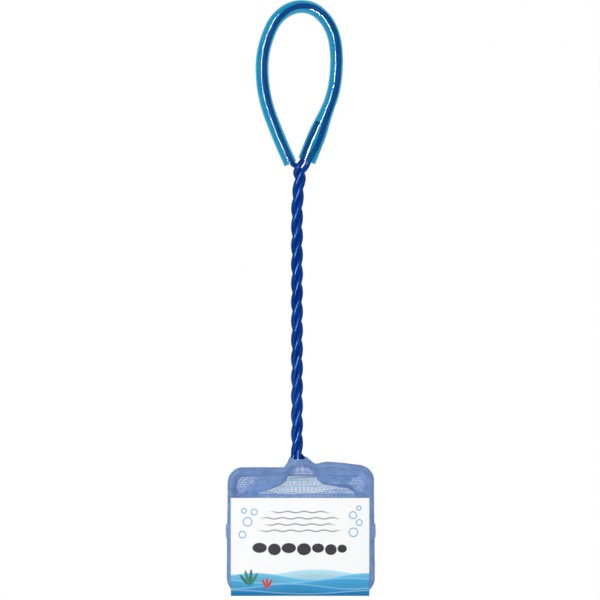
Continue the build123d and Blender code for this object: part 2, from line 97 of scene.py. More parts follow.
class Signal:
    """A number inside a material: Python expressions on it add Math nodes."""

    def __init__(self, graph: "Graph", socket: Socket) -> None:
        """Wraps an output socket of a graph's node."""
        self.graph = graph
        self.socket = socket

    def _math(self, operation: str, first: Number, second: Number = 0.0, clamp: bool = False) -> "Signal":
        """Adds one Math node.

        Args:
            operation: the Math node's operation.
            first: its first value.
            second: its second value.
            clamp: whether the result is kept between 0 and 1.

        Returns:
            The node's result.
        """
        settings = {"operation": operation, "use_clamp": clamp}
        node = self.graph.node("ShaderNodeMath", {0: first, 1: second}, settings)
        return Signal(self.graph, node.outputs[0])

    def __add__(self, other: Number) -> "Signal":
        """Sum."""
        return self._math("ADD", self, other)

    def __sub__(self, other: Number) -> "Signal":
        """Difference."""
        return self._math("SUBTRACT", self, other)

    def __rsub__(self, other: Number) -> "Signal":
        """Difference with a number on the left."""
        return self._math("SUBTRACT", other, self)

    def __mul__(self, other: Number) -> "Signal":
        """Product."""
        return self._math("MULTIPLY", self, other)

    def __truediv__(self, other: Number) -> "Signal":
        """Quotient."""
        return self._math("DIVIDE", self, other)

    def __abs__(self) -> "Signal":
        """Size without its sign."""
        return self._math("ABSOLUTE", self)

    __radd__ = __add__
    __rmul__ = __mul__

    def sine(self) -> "Signal":
        """Sine, of radians."""
        return self._math("SINE", self)

    def root(self) -> "Signal":
        """Square root."""
        return self._math("SQRT", self)

    def larger(self, other: Number) -> "Signal":
        """The larger of two values."""
        return self._math("MAXIMUM", self, other)

    def smaller(self, other: Number) -> "Signal":
        """The smaller of two values."""
        return self._math("MINIMUM", self, other)

    def above(self, edge: Number, softness: float) -> "Signal":
        """A mask that goes from 0 to 1 over a width, the softness, where the value passes an edge."""
        return self._math("ADD", (self - edge) / softness, 0.5, clamp=True)


class Graph:
    """The node tree of one material or of the world."""

    def __init__(self, owner: bpy.types.ID) -> None:
        """Starts from an empty tree.

        Args:
            owner: the material or the world.
        """
        owner.use_nodes = True
        self.owner = owner
        self.tree = owner.node_tree
        self.tree.nodes.clear()

    def node(
        self, kind: str, sockets: Sockets | None = None, settings: dict[str, Any] | None = None
    ) -> bpy.types.Node:
        """Adds a node.

        Args:
            kind: the node's type.
            sockets: a value, a Signal or an output socket for each of its inputs, by name or number.
            settings: its properties, which are set first.

        Returns:
            The node.
        """
        made = self.tree.nodes.new(kind)
        for name, value in (settings or {}).items():
            setattr(made, name, value)
        for name, value in (sockets or {}).items():
            if isinstance(value, Signal):
                value = value.socket
            if isinstance(value, Socket):
                self.tree.links.new(value, made.inputs[name])
            else:
                made.inputs[name].default_value = value
        return made

    def place(self, kind: str = "Object") -> list[Signal]:
        """The place in one kind of texture coordinates, as three numbers."""
        split = self.node("ShaderNodeSeparateXYZ", {0: self.node("ShaderNodeTexCoord").outputs[kind]})
        return [Signal(self, output) for output in split.outputs]

    def grain(self, scale: float, detail: float, stretch: Triple = (1, 1, 1)) -> Signal:
        """Noise over the object.

        Args:
            scale: cells in a metre.
            detail: octaves of finer noise.
            stretch: the cells' scale along each axis.

        Returns:
            The noise, about 0.5.
        """
        place = self.node("ShaderNodeTexCoord").outputs["Object"]
        mapping = self.node("ShaderNodeMapping", {"Vector": place, "Scale": stretch})
        sockets = {"Vector": mapping.outputs[0], "Scale": scale, "Detail": detail}
        return Signal(self, self.node("ShaderNodeTexNoise", sockets).outputs["Fac"])

    def blend(self, factor: Number, first: Tint, second: Tint) -> Socket:
        """Mixes two colours.

        Args:
            factor: the second colour's share.
            first: a colour or its socket.
            second: a colour or its socket.

        Returns:
            The mixed colour's socket.
        """
        one, two = ((*tint, 1.0) if isinstance(tint, tuple) else tint for tint in (first, second))
        return self.node("ShaderNodeMix", {0: factor, 6: one, 7: two}, {"data_type": "RGBA"}).outputs[2]

    def surface(
        self, colour: Socket, rough: Number, relief: tuple[Signal, float], more: Sockets
    ) -> Material:
        """Ends a material's tree in a Principled surface.

        Args:
            colour: the base colour's socket.
            rough: the roughness.
            relief: the height of its fine relief, and the relief's strength.
            more: other sockets by their names.

        Returns:
            The material.
        """
        height, strength = relief
        bump = self.node("ShaderNodeBump", {"Height": height, "Strength": strength, "Distance": RELIEF})
        sockets = {"Base Color": colour, "Roughness": rough, "Normal": bump.outputs[0], **more}
        shader = self.node("ShaderNodeBsdfPrincipled", sockets)
        self.node("ShaderNodeOutputMaterial", {"Surface": shader.outputs[0]})
        return self.owner


@dataclass(frozen=True)
class VinylCoat:
    """Glossy dark-blue vinyl, dipped on the wire."""

    name: str = "vinyl_coat"
    blue: Triple = (0.00227, 0.0545, 0.329)
    deep: Triple = (0.00113, 0.0306, 0.216)
    cut_end_dark: Triple = (0.006, 0.009, 0.010)
    roughness: float = 0.05
    cut_reach: Pair = (3.0 * MM, 0.8 * MM)

    def material(self, cut: Vector | None = None) -> Material:
        """The coat's material: uneven pigment, a faint orange peel and soft scuffs.

        Args:
            cut: the corner of the strand's box at its cut end, if it has one.

        Returns:
            A material that is dark round the cut end.
        """
        graph = Graph(bpy.data.materials.new(self.name))
        cloud = graph.grain(160, 3)
        peel = graph.grain(2600, 2)
        scuff = graph.grain(700, 4, (1, 1, 0.15)).above(0.62, 0.16)
        colour = graph.blend(cloud.above(0.5, 0.5), self.deep, self.blue)
        # the coat is darker round the cut end
        if cut is not None:
            x, _, z = graph.place()
            dx, dz = x - cut.x, z - cut.z
            colour = graph.blend((dx * dx + dz * dz).root().above(*self.cut_reach), self.cut_end_dark, colour)
        rough = self.roughness + 0.03 * cloud + 0.08 * scuff
        more = {"IOR": 1.5, "Specular IOR Level": 0.5, "Specular Tint": (0.3, 0.62, 1.0, 1.0)}
        return graph.surface(colour, rough, (peel, 0.12), more)


@dataclass(frozen=True)
class SteelWire:
    """Drawn steel, seen at the wire's cut ends."""

    name: str = "steel_wire"
    steel: Triple = (0.36, 0.37, 0.39)
    rust: Triple = (0.16, 0.09, 0.05)

    def material(self) -> Material:
        """The steel's material: shear marks and a trace of rust.

        Returns:
            The material.
        """
        graph = Graph(bpy.data.materials.new(self.name))
        marks = graph.grain(2400, 3, (1, 1, 0.2))
        spots = graph.grain(900, 4).above(0.6, 0.2)
        colour = graph.blend(spots, self.steel, self.rust)
        return graph.surface(colour, 0.3 + 0.3 * marks, (marks, 0.4), {"Metallic": 1 - 0.6 * spots})


@dataclass(frozen=True)
class ClearVinyl:
    """Clear light-blue vinyl tube."""

    name: str = "clear_vinyl"
    tint: Triple = (0.07, 0.51, 0.71)
    milky: Triple = (0.12, 0.55, 0.73)

    def material(self) -> Material:
        """The tube's material: tinted, slightly cloudy, with long soft flow lines.

        Returns:
            The material.
        """
        graph = Graph(bpy.data.materials.new(self.name))
        cloud = graph.grain(120, 3)
        flow = graph.grain(900, 3, (1, 1, 0.08))
        colour = graph.blend(cloud.above(0.52, 0.4), self.tint, self.milky)
        more = {
            "IOR": 1.36,
            "Specular IOR Level": 0.38,
            "Transmission Weight": 0.955,
            "Coat Weight": 0.06 + 0.12 * flow,
            "Coat Roughness": 0.04,
        }
        return graph.surface(colour, 0.03 + 0.05 * cloud, (flow, 0.05), more)


@dataclass(frozen=True)
class NetYarn:
    """Soft nylon yarn of the netting and of its stitches."""

    name: str = "net_yarn"
    blue: Triple = (0.193, 0.335, 0.658)
    pale: Triple = (0.272, 0.426, 0.76)
    roughness: float = 0.6
    painted_light: Triple = (0.409, 0.658, 0.97)
    painted_light_depth: Pair = (4.4 * MM, 1.2 * MM)

    def material(self) -> Material:
        """The yarn's material: uneven dye, the twist of its fibres, and painted light: paler deeper in the
        bag.

        Returns:
            The material.
        """
        graph = Graph(bpy.data.materials.new(self.name))
        dye = graph.grain(220, 3)
        fibre = graph.grain(9000, 2)
        dyed = graph.blend(dye.above(0.5, 0.4), self.blue, self.pale)
        # painted light: yarn more than 4.4 mm deep in the bag is paler, standing in for light inside it
        colour = graph.blend(graph.place()[1].above(*self.painted_light_depth), dyed, self.painted_light)
        more = {
            "Sheen Weight": 0.05,
            "Subsurface Weight": 0.5,
            "Subsurface Radius": (1.0, 1.0, 1.0),
            "Subsurface Scale": 0.4 * MM,
            "Specular IOR Level": 0.06,
        }
        return graph.surface(colour, self.roughness + 0.15 * fibre, (fibre, 0.4), more)


@dataclass(frozen=True)
class HemThread:
    """Thread of the hem, with painted shade on its stitches at the neck."""

    name: str = "hem_sewing"
    blue: Triple = (0.193, 0.306, 0.647)
    dark: Triple = (0.0568, 0.0908, 0.25)
    neck: Triple = (2.5 * MM, 8.0 * MM, 1.5 * MM)
    front: Pair = (-0.9 * MM, 0.2 * MM)

    def material(self) -> Material:
        """The thread's material: blue round the mouth, with painted shade on both sides of the neck's middle.

        Returns:
            The material.
        """
        graph = Graph(bpy.data.materials.new(self.name))
        x, y, _ = graph.place()
        middle, reach, fade = self.neck
        # painted shade: stitches on both sides of the neck's middle, in front of the hem, are darkened
        shaded = (1 - abs(x - middle).above(reach, fade)) * (1 - y.above(*self.front))
        twist = graph.grain(7000, 2)
        colour = graph.blend(shaded, self.blue, self.dark)
        return graph.surface(colour, 0.55 + 0.2 * twist, (twist, 0.4), {"Specular IOR Level": 0.1})


@dataclass(frozen=True)
class CardPrint:
    """White coated card with waves, bubbles, pebbles, ripples and water plants printed on its front.

    Places are in millimetres from the middle of the card's foot. A wave has its rise, swell, length,
    phase and ink, a bubble its place and radius, a pebble its place and half sizes, a ripple its
    height, reach and phase, and a leaf its place, half sizes, tilt and ink.
    """

    name: str = "card_print"
    white: Triple = (0.935, 0.94, 0.945)
    board: Triple = (0.704, 0.681, 0.636)
    aqua: Triple = (0.034, 0.375, 0.749)
    foam: Triple = (0.704, 0.953, 0.97)
    slate: Triple = (0.030, 0.030, 0.033)
    wave_fade: float = 5.0
    ripple_swell: float = 0.35
    ripple_length: float = 8.5
    waves: Rows = (
        (12.4, 1.6, 64.0, 0.6, (0.511, 0.84, 0.97)),
        (10.6, 1.5, 58.0, 3.9, (0.136, 0.545, 0.863)),
        (8.2, 1.4, 74.0, 5.6, (0.0454, 0.409, 0.749)),
        (5.4, 1.3, 62.0, 1.9, (0.017, 0.306, 0.647)),
        (2.6, 1.0, 80.0, 4.4, (0.00908, 0.227, 0.533)),
    )
    bubbles: Rows = (
        (-27.0, 38.4, 2.2), (-23.6, 43.4, 1.5), (-28.8, 44.0, 1.2), (-29.6, 31.8, 1.7),
        (27.4, 33.0, 2.2), (30.4, 38.0, 1.5), (27.2, 41.8, 1.8), (30.2, 45.4, 1.1),
    )
    pebbles: Rows = (
        (-20.8, 25.0, 3.7, 2.6), (-13.2, 24.2, 3.3, 3.0), (-5.8, 24.9, 3.7, 2.6), (2.0, 24.3, 3.6, 3.1),
        (9.2, 24.9, 3.1, 2.4), (15.8, 24.1, 3.0, 2.8), (21.6, 24.6, 2.4, 2.1),
    )
    ripples: Rows = ((43.4, 14.0, 0.0), (40.2, 19.0, 1.9), (37.0, 17.0, 3.4), (33.8, 20.0, 5.0))
    leaves: Rows = (
        (-28.9, 8.6, 3.4, 0.75, 2.25, (0.02, 0.17, 0.13)),
        (-27.2, 9.6, 4.0, 0.8, 1.85, (0.03, 0.24, 0.17)),
        (-25.4, 9.8, 4.2, 0.8, 1.5, (0.02, 0.17, 0.13)),
        (-23.6, 9.0, 3.6, 0.75, 1.05, (0.03, 0.24, 0.17)),
        (-18.4, 6.6, 2.6, 0.65, 2.0, (0.55, 0.05, 0.05)),
        (-17.0, 7.0, 2.9, 0.65, 1.55, (0.62, 0.07, 0.06)),
        (-15.6, 6.6, 2.5, 0.65, 1.1, (0.55, 0.05, 0.05)),
    )

    def material(self, low: Vector, high: Vector) -> Material:
        """The card's material.

        Args:
            low: the card's lowest corner.
            high: the card's highest corner.

        Returns:
            A material whose print lies on the card's front face alone.
        """
        graph = Graph(bpy.data.materials.new(self.name))
        x, y, z = graph.place()
        fold = (z - (low.z + high.y)).smaller(0.0)
        front = (y * y + fold * fold).root().above(high.y - 0.1 * MM, 0.05 * MM)
        wide, tall = (x - (low.x + high.x) / 2) / MM, (z - low.z) / MM
        paper = self.white
        for rise, swell, length, phase, ink in self.waves:
            crest = rise + swell * (x * (2 * pi / (length * MM)) + phase).sine()
            under = (crest - tall) / self.wave_fade
            shade = graph.blend(under.above(0.3, 0.9), ink, tuple(0.72 * part for part in ink))
            shade = graph.blend((1 - under.above(0.07, 0.13)) * 0.4, shade, self.foam)
            paper = graph.blend(under.above(0.0, 0.04), paper, shade)
        rings = []
        for across, up, size in self.bubbles:
            dx, dz = wide - across, tall - up
            rings.append(1 - abs((dx * dx + dz * dz).root() - size).above(0.24, 0.14))
        paper = graph.blend(reduce(Signal.larger, rings), paper, self.aqua)
        for across, up, half_wide, half_tall in self.pebbles:
            dx, dz = (wide - across) / half_wide, (tall - up) / half_tall
            paper = graph.blend(1 - (dx * dx + dz * dz).above(1.0, 0.12), paper, self.slate)
        for up, reach, phase in self.ripples:
            swing = (wide * (2 * pi / self.ripple_length) + phase).sine()
            line = 1 - abs(tall - (up + self.ripple_swell * swing)).above(0.32, 0.2)
            paper = graph.blend(line * (1 - abs(wide).above(reach, 4.0)) * 0.7, paper, self.slate)
        for across, up, half_long, half_wide, tilt, ink in self.leaves:
            dx, dz = wide - across, tall - up
            run = (dx * cos(tilt) + dz * sin(tilt)) / half_long
            off = (dz * cos(tilt) - dx * sin(tilt)) / half_wide
            paper = graph.blend(1 - (run * run + off * off).above(1.0, 0.2), paper, ink)
        fibre = graph.grain(1400, 4)
        colour = graph.blend(front, graph.blend(fibre, self.board, self.white), paper)
        rough = 0.62 - 0.2 * front + 0.12 * fibre
        return graph.surface(colour, rough, (fibre, 0.12), {"Specular IOR Level": 0.1})


def between(ends: Pair, share: float) -> float:
    """The value at a share of the way from one end to the other."""
    return ends[0] + (ends[1] - ends[0]) * share


@dataclass(frozen=True)
class Wave:
    """Smooth unevenness of cloth: how far it goes, over what distance, and where its noise starts."""

    reach: float
    scale: float
    seed: float

    def at(self, place: Vector, shift: float = 0.0) -> float:
        """How far the cloth is off at a place, with the noise shifted."""
        seed = self.seed + shift
        return self.reach * noise.noise(place * (1 / self.scale) + Vector((seed, seed * 0.7, seed * 1.3)))

    def moved(self, place: Vector, share: float = 1.0, shift: float = 0.0) -> Vector:
        """A place moved along Y by a share of that distance."""
        return place + Vector((0, self.at(place, shift) * share, 0))


@dataclass(frozen=True)
class Spline:
    """A smooth value over a position, through given places."""

    places: tuple[Pair, ...]

    def at(self, position: float) -> float:
        """The value at a position.

        Args:
            position: where to read the curve; it is held at the ends.

        Returns:
            The value, on a smooth curve through the places.
        """
        places = self.places
        position = min(max(position, places[0][0]), places[-1][0])
        last = len(places) - 2
        index = next(i for i in range(last + 1) if position <= places[i + 1][0])
        before, start, end, after = (places[min(max(index + k, 0), last + 1)] for k in (-1, 0, 1, 2))
        span = end[0] - start[0]
        share = (position - start[0]) / span
        rise_in = (end[1] - before[1]) / (end[0] - before[0]) * span
        rise_out = (after[1] - start[1]) / (after[0] - start[0]) * span
        square, cube = share * share, share**3
        return (
            (2 * cube - 3 * square + 1) * start[1]
            + (cube - 2 * square + share) * rise_in
            + (3 * square - 2 * cube) * end[1]
            + (cube - square) * rise_out
        )


class Route:
    """A smooth line through nodes with directions."""

    straight: float = 0.05

    def __init__(self, nodes: Sequence[tuple[Vector, Vector]], steps: int = 24) -> None:
        """Samples smooth arcs between the nodes.

        Args:
            nodes: points and the directions of the line there.
            steps: samples on each stretch.
        """
        self.points: list[Vector] = []
        for (start, way_in), (end, way_out) in zip(nodes, nodes[1:]):
            chord = (end - start).length
            turn = way_in.angle(way_out)
            arm = chord / 3
            if turn >= self.straight:
                arm = 4 / 3 * tan(turn / 4) * chord / (2 * sin(turn / 2))
            run = interpolate_bezier(start, start + way_in * arm, end - way_out * arm, end, steps)
            self.points += run if not self.points else run[1:]
        self.lengths = [0.0]
        for before, after in zip(self.points, self.points[1:]):
            self.lengths.append(self.lengths[-1] + (after - before).length)
        self.total = self.lengths[-1]

    def at(self, along: float) -> tuple[Vector, Vector]:
        """The place and direction at a length along the route.

        Args:
            along: length from the route's start.

        Returns:
            The point and the unit direction.
        """
        along = min(max(along, 0.0), self.total)
        low = min(bisect_right(self.lengths, along) - 1, len(self.lengths) - 2)
        share = (along - self.lengths[low]) / (self.lengths[low + 1] - self.lengths[low])
        start, end = self.points[low : low + 2]
        return start.lerp(end, share), (end - start).normalized()

    def length_at_height(self, height: float, rising: bool) -> float:
        """The length along the route where it passes a height.

        Args:
            height: the height.
            rising: whether it passes on its way up.

        Returns:
            The length, or the whole length where it does not pass.
        """
        for index, (start, end) in enumerate(zip(self.points, self.points[1:])):
            if min(start.z, end.z) <= height <= max(start.z, end.z) and (end.z > start.z) == rising:
                return self.lengths[index]
        return self.total


@dataclass(frozen=True)
class Netting:
    """Knitted netting: sheets of open cells between flat yarns."""

    across: float
    along: float
    yarn: float
    depth: float = 0.2 * MM
    least_gap: float = 1.3
    least_angle: float = 0.5
    most_angle: float = 2.7

    def sheet(self, shape: Shape, width: float, length: float) -> Mesh:
        """A grid of whole cells, bent to a shape.

        Args:
            shape: the place for shares across and along the sheet.
            width: the sheet's width, for the number of cells across.
            length: the sheet's length, for the number of cells along it.

        Returns:
            The bent grid, its cells still closed.
        """
        made = bmesh.new()
        columns, rows = round(width / self.across), round(length / self.along)
        bmesh.ops.create_grid(made, x_segments=columns, y_segments=rows, size=0.5)
        for vert in made.verts:
            vert.co = shape(vert.co.x + 0.5, vert.co.y + 0.5)
        bmesh.ops.remove_doubles(made, verts=made.verts[:], dist=0.01 * MM)
        return made

    def opens(self, cell: bmesh.types.BMFace) -> bool:
        """Whether a cell is wide and square enough to show a hole between its yarns."""
        wide = min(edge.calc_length() for edge in cell.edges) > self.least_gap * self.yarn
        return wide and all(self.least_angle < loop.calc_angle() < self.most_angle for loop in cell.loops)

    def open_cells(self, made: Mesh) -> float:
        """Opens the cells of a sheet and leaves the yarns.

        Args:
            made: the closed sheet.

        Returns:
            The sheet's flat area before its cells were opened.
        """
        area = sum(face.calc_area() for face in made.faces)
        cells = [face for face in made.faces if self.opens(face)]
        bmesh.ops.inset_individual(made, faces=cells, thickness=self.yarn / 2, use_even_offset=True)
        bmesh.ops.delete(made, geom=cells, context="FACES")
        return area


@dataclass(frozen=True)
class Layer:
    """One sheet of netting in a piece, with its shape and its flat size."""

    net: Netting
    shape: Shape
    width: float
    length: float


@dataclass(frozen=True)
class Cloth:
    """How a piece of netting is cut and held: flat width, least length and the cloth to spare."""

    width: float
    length: float
    held: Held
    spare: float = 1.001


@dataclass(frozen=True)
class Stitch:
    """A stitch of thread, a slim rounded capsule."""

    half_length: float
    radius: float

    def add(self, made: Mesh, place: Vector, way: Vector) -> None:
        """Adds the stitch to a mesh.

        Args:
            made: the mesh it joins.
            place: its middle.
            way: its direction.
        """
        turn = way.to_track_quat("Z", "Y").to_matrix().to_4x4()
        size = Matrix.Diagonal((self.radius, self.radius, self.half_length, 1))
        where = Matrix.Translation(place) @ turn @ size
        bmesh.ops.create_uvsphere(made, u_segments=7, v_segments=5, radius=1, matrix=where)


def as_mesh(name: str, made: Mesh) -> bpy.types.Mesh:
    """Makes a named mesh of a bmesh, which is freed.

    Args:
        name: the mesh's name.
        made: the bmesh.

    Returns:
        The mesh.
    """
    mesh = bpy.data.meshes.new(name)
    made.to_mesh(mesh)
    made.free()
    return mesh


def add_object(name: str, data: bpy.types.ID) -> bpy.types.Object:
    """Puts an object of a mesh, a lamp or a camera into the scene.

    Args:
        name: the object's name.
        data: what it shows.

    Returns:
        The object, at the origin.
    """
    added = bpy.data.objects.new(name, data)
    bpy.context.scene.collection.objects.link(added)
    return added


def finish_piece(
    name: str, node: str, made: Mesh, material: Material, depth: float = 0.0
) -> bpy.types.Object:
    """Makes a piece of a mesh, on the net's body.

    Args:
        name: the piece's name.
        node: the CAD node it stands for.
        made: its mesh, which is freed.
        material: its finish.
        depth: the thickness of a sheet's yarns.

    Returns:
        The piece's object.
    """
    mesh = as_mesh(name, made)
    mesh.polygons.foreach_set("use_smooth", [True] * len(mesh.polygons))
    mesh.materials.append(material)
    piece = add_object(name, mesh)
    if depth:
        wall = piece.modifiers.new("yarn_depth", "SOLIDIFY")
        wall.thickness = depth
        wall.offset = 0.0
    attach(piece, "net")
    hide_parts(node)
    LOG.info("%s: %d faces", name, len(mesh.polygons))
    return piece


def sew(name: str, node: str, made: Mesh, material: Material) -> None:
    """Makes a piece of thread of a mesh, in place of a CAD node, with its faces turned outwards."""
    bmesh.ops.recalc_face_normals(made, faces=made.faces[:])
    finish_piece(name, node, made, material)


def knit(name: str, node: str, layers: Sequence[Layer], cloth: Cloth, material: Material) -> None:
    """Makes a piece of netting of its layers.

    Args:
        name: the piece's name.
        node: the CAD node it stands for.
        layers: its sheets of netting.
        cloth: how it is cut and held; the faces of a folded one are turned outwards.
        material: the yarn's finish.
    """
    made = bmesh.new()
    area = 0.0
    for layer in layers:
        extra = layer.net.sheet(layer.shape, layer.width, layer.length)
        if cloth.held is Held.FOLDED:
            bmesh.ops.recalc_face_normals(extra, faces=extra.faces[:])
        area += layer.net.open_cells(extra)
        part = as_mesh("part", extra)
        made.from_mesh(part)
        bpy.data.meshes.remove(part)
    piece = finish_piece(name, node, made, material, layers[0].net.depth)
    flat = (cloth.width, max(cloth.length, cloth.spare * area / cloth.width))


@dataclass
class Mouth:
    """The rounded opening of the bag, just inside the hem."""

    middle_x: float = 1.95 * MM
    top: float = -237.68 * MM
    bottom: float = -295.78 * MM
    width: float = 67.8 * MM
    corner: float = 5.2 * MM

    @property
    def middle_z(self) -> float:
        """Mid-height, where the side seams start."""
        return (self.top + self.bottom) / 2

    @property
    def core(self) -> Pair:
        """Half width and half height between the middles of the corners."""
        return self.width / 2 - self.corner, (self.top - self.bottom) / 2 - self.corner

    def side(self, which: Side, z: float) -> float:
        """The X of the opening's edge at a height.

        Args:
            which: the side.
            z: the height.

        Returns:
            The edge's X.
        """
        over = max(0.0, z - (self.top - self.corner), self.bottom + self.corner - z)
        inset = self.corner - sqrt(max(0.0, self.corner**2 - min(over, self.corner) ** 2))
        return self.middle_x + which.value * (self.width / 2 - inset)

    def nearest(self, place: Vector, inset: float) -> Vector:
        """The point nearest to a place outside, on a line that runs an inset inside the edge.

        Args:
            place: a place outside the opening.
            inset: the line's distance inside the edge.

        Returns:
            The point, in the mouth's plane.
        """
        half_x, half_z = self.core
        x = min(max(place.x, self.middle_x - half_x), self.middle_x + half_x)
        z = min(max(place.z, self.middle_z - half_z), self.middle_z + half_z)
        way = Vector((place.x - x, 0, place.z - z)).normalized()
        return Vector((x, 0, z)) + way * (self.corner - inset)

    def round_trip(self, inset: float, pitch: float) -> list[tuple[Vector, Vector]]:
        """Places along the opening's edge, evenly apart.

        Args:
            inset: distance inside the edge.
            pitch: wanted distance between places.

        Returns:
            Points in the mouth's plane, each with the direction of the edge there.
        """
        radius = self.corner - inset
        half_x, half_z = self.core
        signs = ((1, 1), (-1, 1), (-1, -1), (1, -1))
        centres = [Vector((self.middle_x + sx * half_x, 0, self.middle_z + sz * half_z)) for sx, sz in signs]
        turned: list[tuple[Vector, float]] = []
        for quarter, centre in enumerate(centres):
            start = quarter * pi / 2
            end = start + pi / 2
            steps = max(2, round(radius * pi / 2 / pitch))
            for angle in (start + pi / 2 * step / steps for step in range(steps)):
                turned.append((centre + radius * Vector((cos(angle), 0, sin(angle))), angle))
            out = radius * Vector((cos(end), 0, sin(end)))
            here, there = centre + out, centres[(quarter + 1) % 4] + out
            steps = max(2, round((there - here).length / pitch))
            turned += [(here.lerp(there, step / steps), end) for step in range(steps)]
        return [(place, Vector((cos(angle + pi / 2), 0, sin(angle + pi / 2)))) for place, angle in turned]


@dataclass
class Bag:
    """The net bag: an upper and a lower panel joined by an overlocked seam, with folds at the mouth.

    The panels' slack is in millimetres.
    """

    mouth: Mouth
    depth: float = 60 * MM
    end_width: float = 55 * MM
    end_height: float = 8 * MM
    end_bulge: float = 1.2 * MM
    drop: float = 14 * MM
    rounding: float = 9 * MM
    wall: float = 0.3 * MM
    end_share: float = 0.93
    top_curve: float = 1.6
    bottom_curve: float = 2.0
    side_curve: float = 2.2
    slack: float = 1.1
    upper_sag: Wave = Wave(1.0, 16 * MM, 3.1)
    lower_sag: Wave = Wave(1.0, 16 * MM, 8.4)
    small_sag: Wave = Wave(0.5, 6 * MM, 1.7)
    panel_net: Netting = Netting(0.77 * MM, 1.7 * MM, 0.2 * MM)
    fold_net: Netting = Netting(1.03 * MM, 1.03 * MM, 0.46 * MM)
    column_net: Netting = Netting(1.03 * MM, 3.0 * MM, 0.24 * MM)
    corner_net: Netting = Netting(1.03 * MM, 1.03 * MM, 0.42 * MM)
    lobe_net: Netting = Netting(1.03 * MM, 1.03 * MM, 0.34 * MM)
    crease_net: Netting = Netting(0.6 * MM, 0.4 * MM, 0.3 * MM)
    shade_band_net: Netting = Netting(0.7 * MM, 0.7 * MM, 0.36 * MM)
    seam_net: Netting = Netting(0.35 * MM, 1.2 * MM, 0.1 * MM)
    seam_start: float = 0.04
    seam_out: float = 0.5 * MM
    seam_corner: float = 2.0 * MM
    seam_bulge: float = 0.3 * MM
    seam_steps: int = 48
    corner_steps: int = 6
    seam_roll: Triple = (0.45 * MM, 0.4 * MM, 2.8 * MM)
    seam_pitch: float = 0.95 * MM
    slant: float = 0.45
    slant_stitch: Stitch = Stitch(0.62 * MM, 0.17 * MM)
    edge_stitch: Stitch = Stitch(0.5 * MM, 0.15 * MM)
    stitch_out: Pair = (0.3 * MM, 0.5 * MM)

    def seam_height(self, y: float) -> float:
        """The seam's Z at a depth."""
        return self.mouth.middle_z - self.drop * y / self.depth

    def floor_height(self, y: float) -> float:
        """The Z of the bag's floor at a depth."""
        return self.section(y / self.depth)[2]

    def section(self, share: float) -> tuple[float, float, float, float]:
        """The bag's section at a depth.

        Args:
            share: share of the depth.

        Returns:
            Half width, top, bottom and corner radius.
        """
        mouth = self.mouth
        end_middle = mouth.middle_z - self.drop
        top = mouth.top + (end_middle + self.end_height / 2 - mouth.top) * share**self.top_curve
        bottom = mouth.bottom + (end_middle - self.end_height / 2 - mouth.bottom) * share**self.bottom_curve
        half = mouth.width / 2 + (self.end_width - mouth.width) / 2 * share**self.side_curve
        corner = min(mouth.corner + self.rounding * share, 0.45 * (top - bottom))
        return half - self.wall, top - self.wall, bottom + self.wall, corner - self.wall

    def around(self, share: float, edge: float, seam: float, across: float) -> Pair:
        """A point on half of a section.

        Args:
            share: share of the depth.
            edge: the half's outer height, top or bottom.
            seam: the seam's height.
            across: share of the way from the left seam round to the right seam.

        Returns:
            The point's X from the bag's middle, and its Z.
        """
        half, _, _, corner = self.section(share)
        rise = abs(edge - seam)
        corner = min(corner, rise * 0.98)
        leg, arc, flat = rise - corner, corner * pi / 2, 2 * (half - corner)
        way = across * (2 * leg + 2 * arc + flat)
        side = -1.0
        if way > leg + arc + flat / 2:
            way, side = 2 * leg + 2 * arc + flat - way, 1.0
        if way < leg:
            x, up = half, way
        elif way < leg + arc:
            angle = (way - leg) / corner
            x, up = half - corner + corner * cos(angle), leg + corner * sin(angle)
        else:
            x, up = half - corner - (way - leg - arc), rise
        return side * x, seam + (up if edge > seam else -up)

    def panel_place(self, upper: bool, across: float, along: float) -> Vector:
        """A place on a panel, which sags a little where nothing holds it.

        Args:
            upper: whether it is the upper panel.
            across: share of the way from the left seam round to the right seam.
            along: share of the way from the mouth to the seam at the bag's end.

        Returns:
            The place.
        """
        share = min(1.0, along / self.end_share)
        y = self.depth * share - self.wall * share
        seam = self.seam_height(y)
        edge = self.section(share)[1 if upper else 2]
        x, z = self.around(share, edge, seam, across)
        lean = x / self.section(share)[0]
        inward = Vector((-(lean**5), 0, (seam - z) / abs(edge - seam))).normalized()
        closing = max(0.0, (along - self.end_share) / (1 - self.end_share))
        z = seam + (z - seam) * (1 - closing)
        y += self.end_bulge * sin(pi * closing)
        free = min(1.0, 4 * share) * min(1.0, 6 * across, 6 * (1 - across)) * (1 - closing)
        here = Vector((self.mouth.middle_x + x, y, z))
        sag = (self.upper_sag if upper else self.lower_sag).at(here) + self.small_sag.at(here)
        return here + inward * (free * (self.slack + self.slack * sag) * MM)

    def make_panel(self, upper: bool, folds: Sequence[tuple[Shape, Netting]], material: Material) -> None:
        """Knits a panel and the folds of it that show in the mouth.

        Args:
            upper: whether it is the upper panel.
            folds: shapes of the folded stretches, each with its netting.
            material: the netting's finish.
        """
        half_round = self.mouth.width + (self.mouth.top - self.mouth.bottom) - self.mouth.corner
        length = self.depth / self.end_share
        layers = [Layer(self.panel_net, partial(self.panel_place, upper), half_round, length)]
        for fold, net in folds:
            width = (fold(1.0, 0.5) - fold(0.0, 0.5)).length
            layers.append(Layer(net, fold, width, (fold(0.5, 1.0) - fold(0.5, 0.0)).length))
        name = "bag_upper_netting" if upper else "bag_lower_netting"
        node = "bag_upper_panel" if upper else "bag_lower_panel"
        knit(name, node, layers, Cloth(half_round, length, Held.GATHERED), material)

    @property
    def seam_up(self) -> Vector:
        """The direction straight up from the seam's plane."""
        return Vector((0, self.drop, self.depth)).normalized()

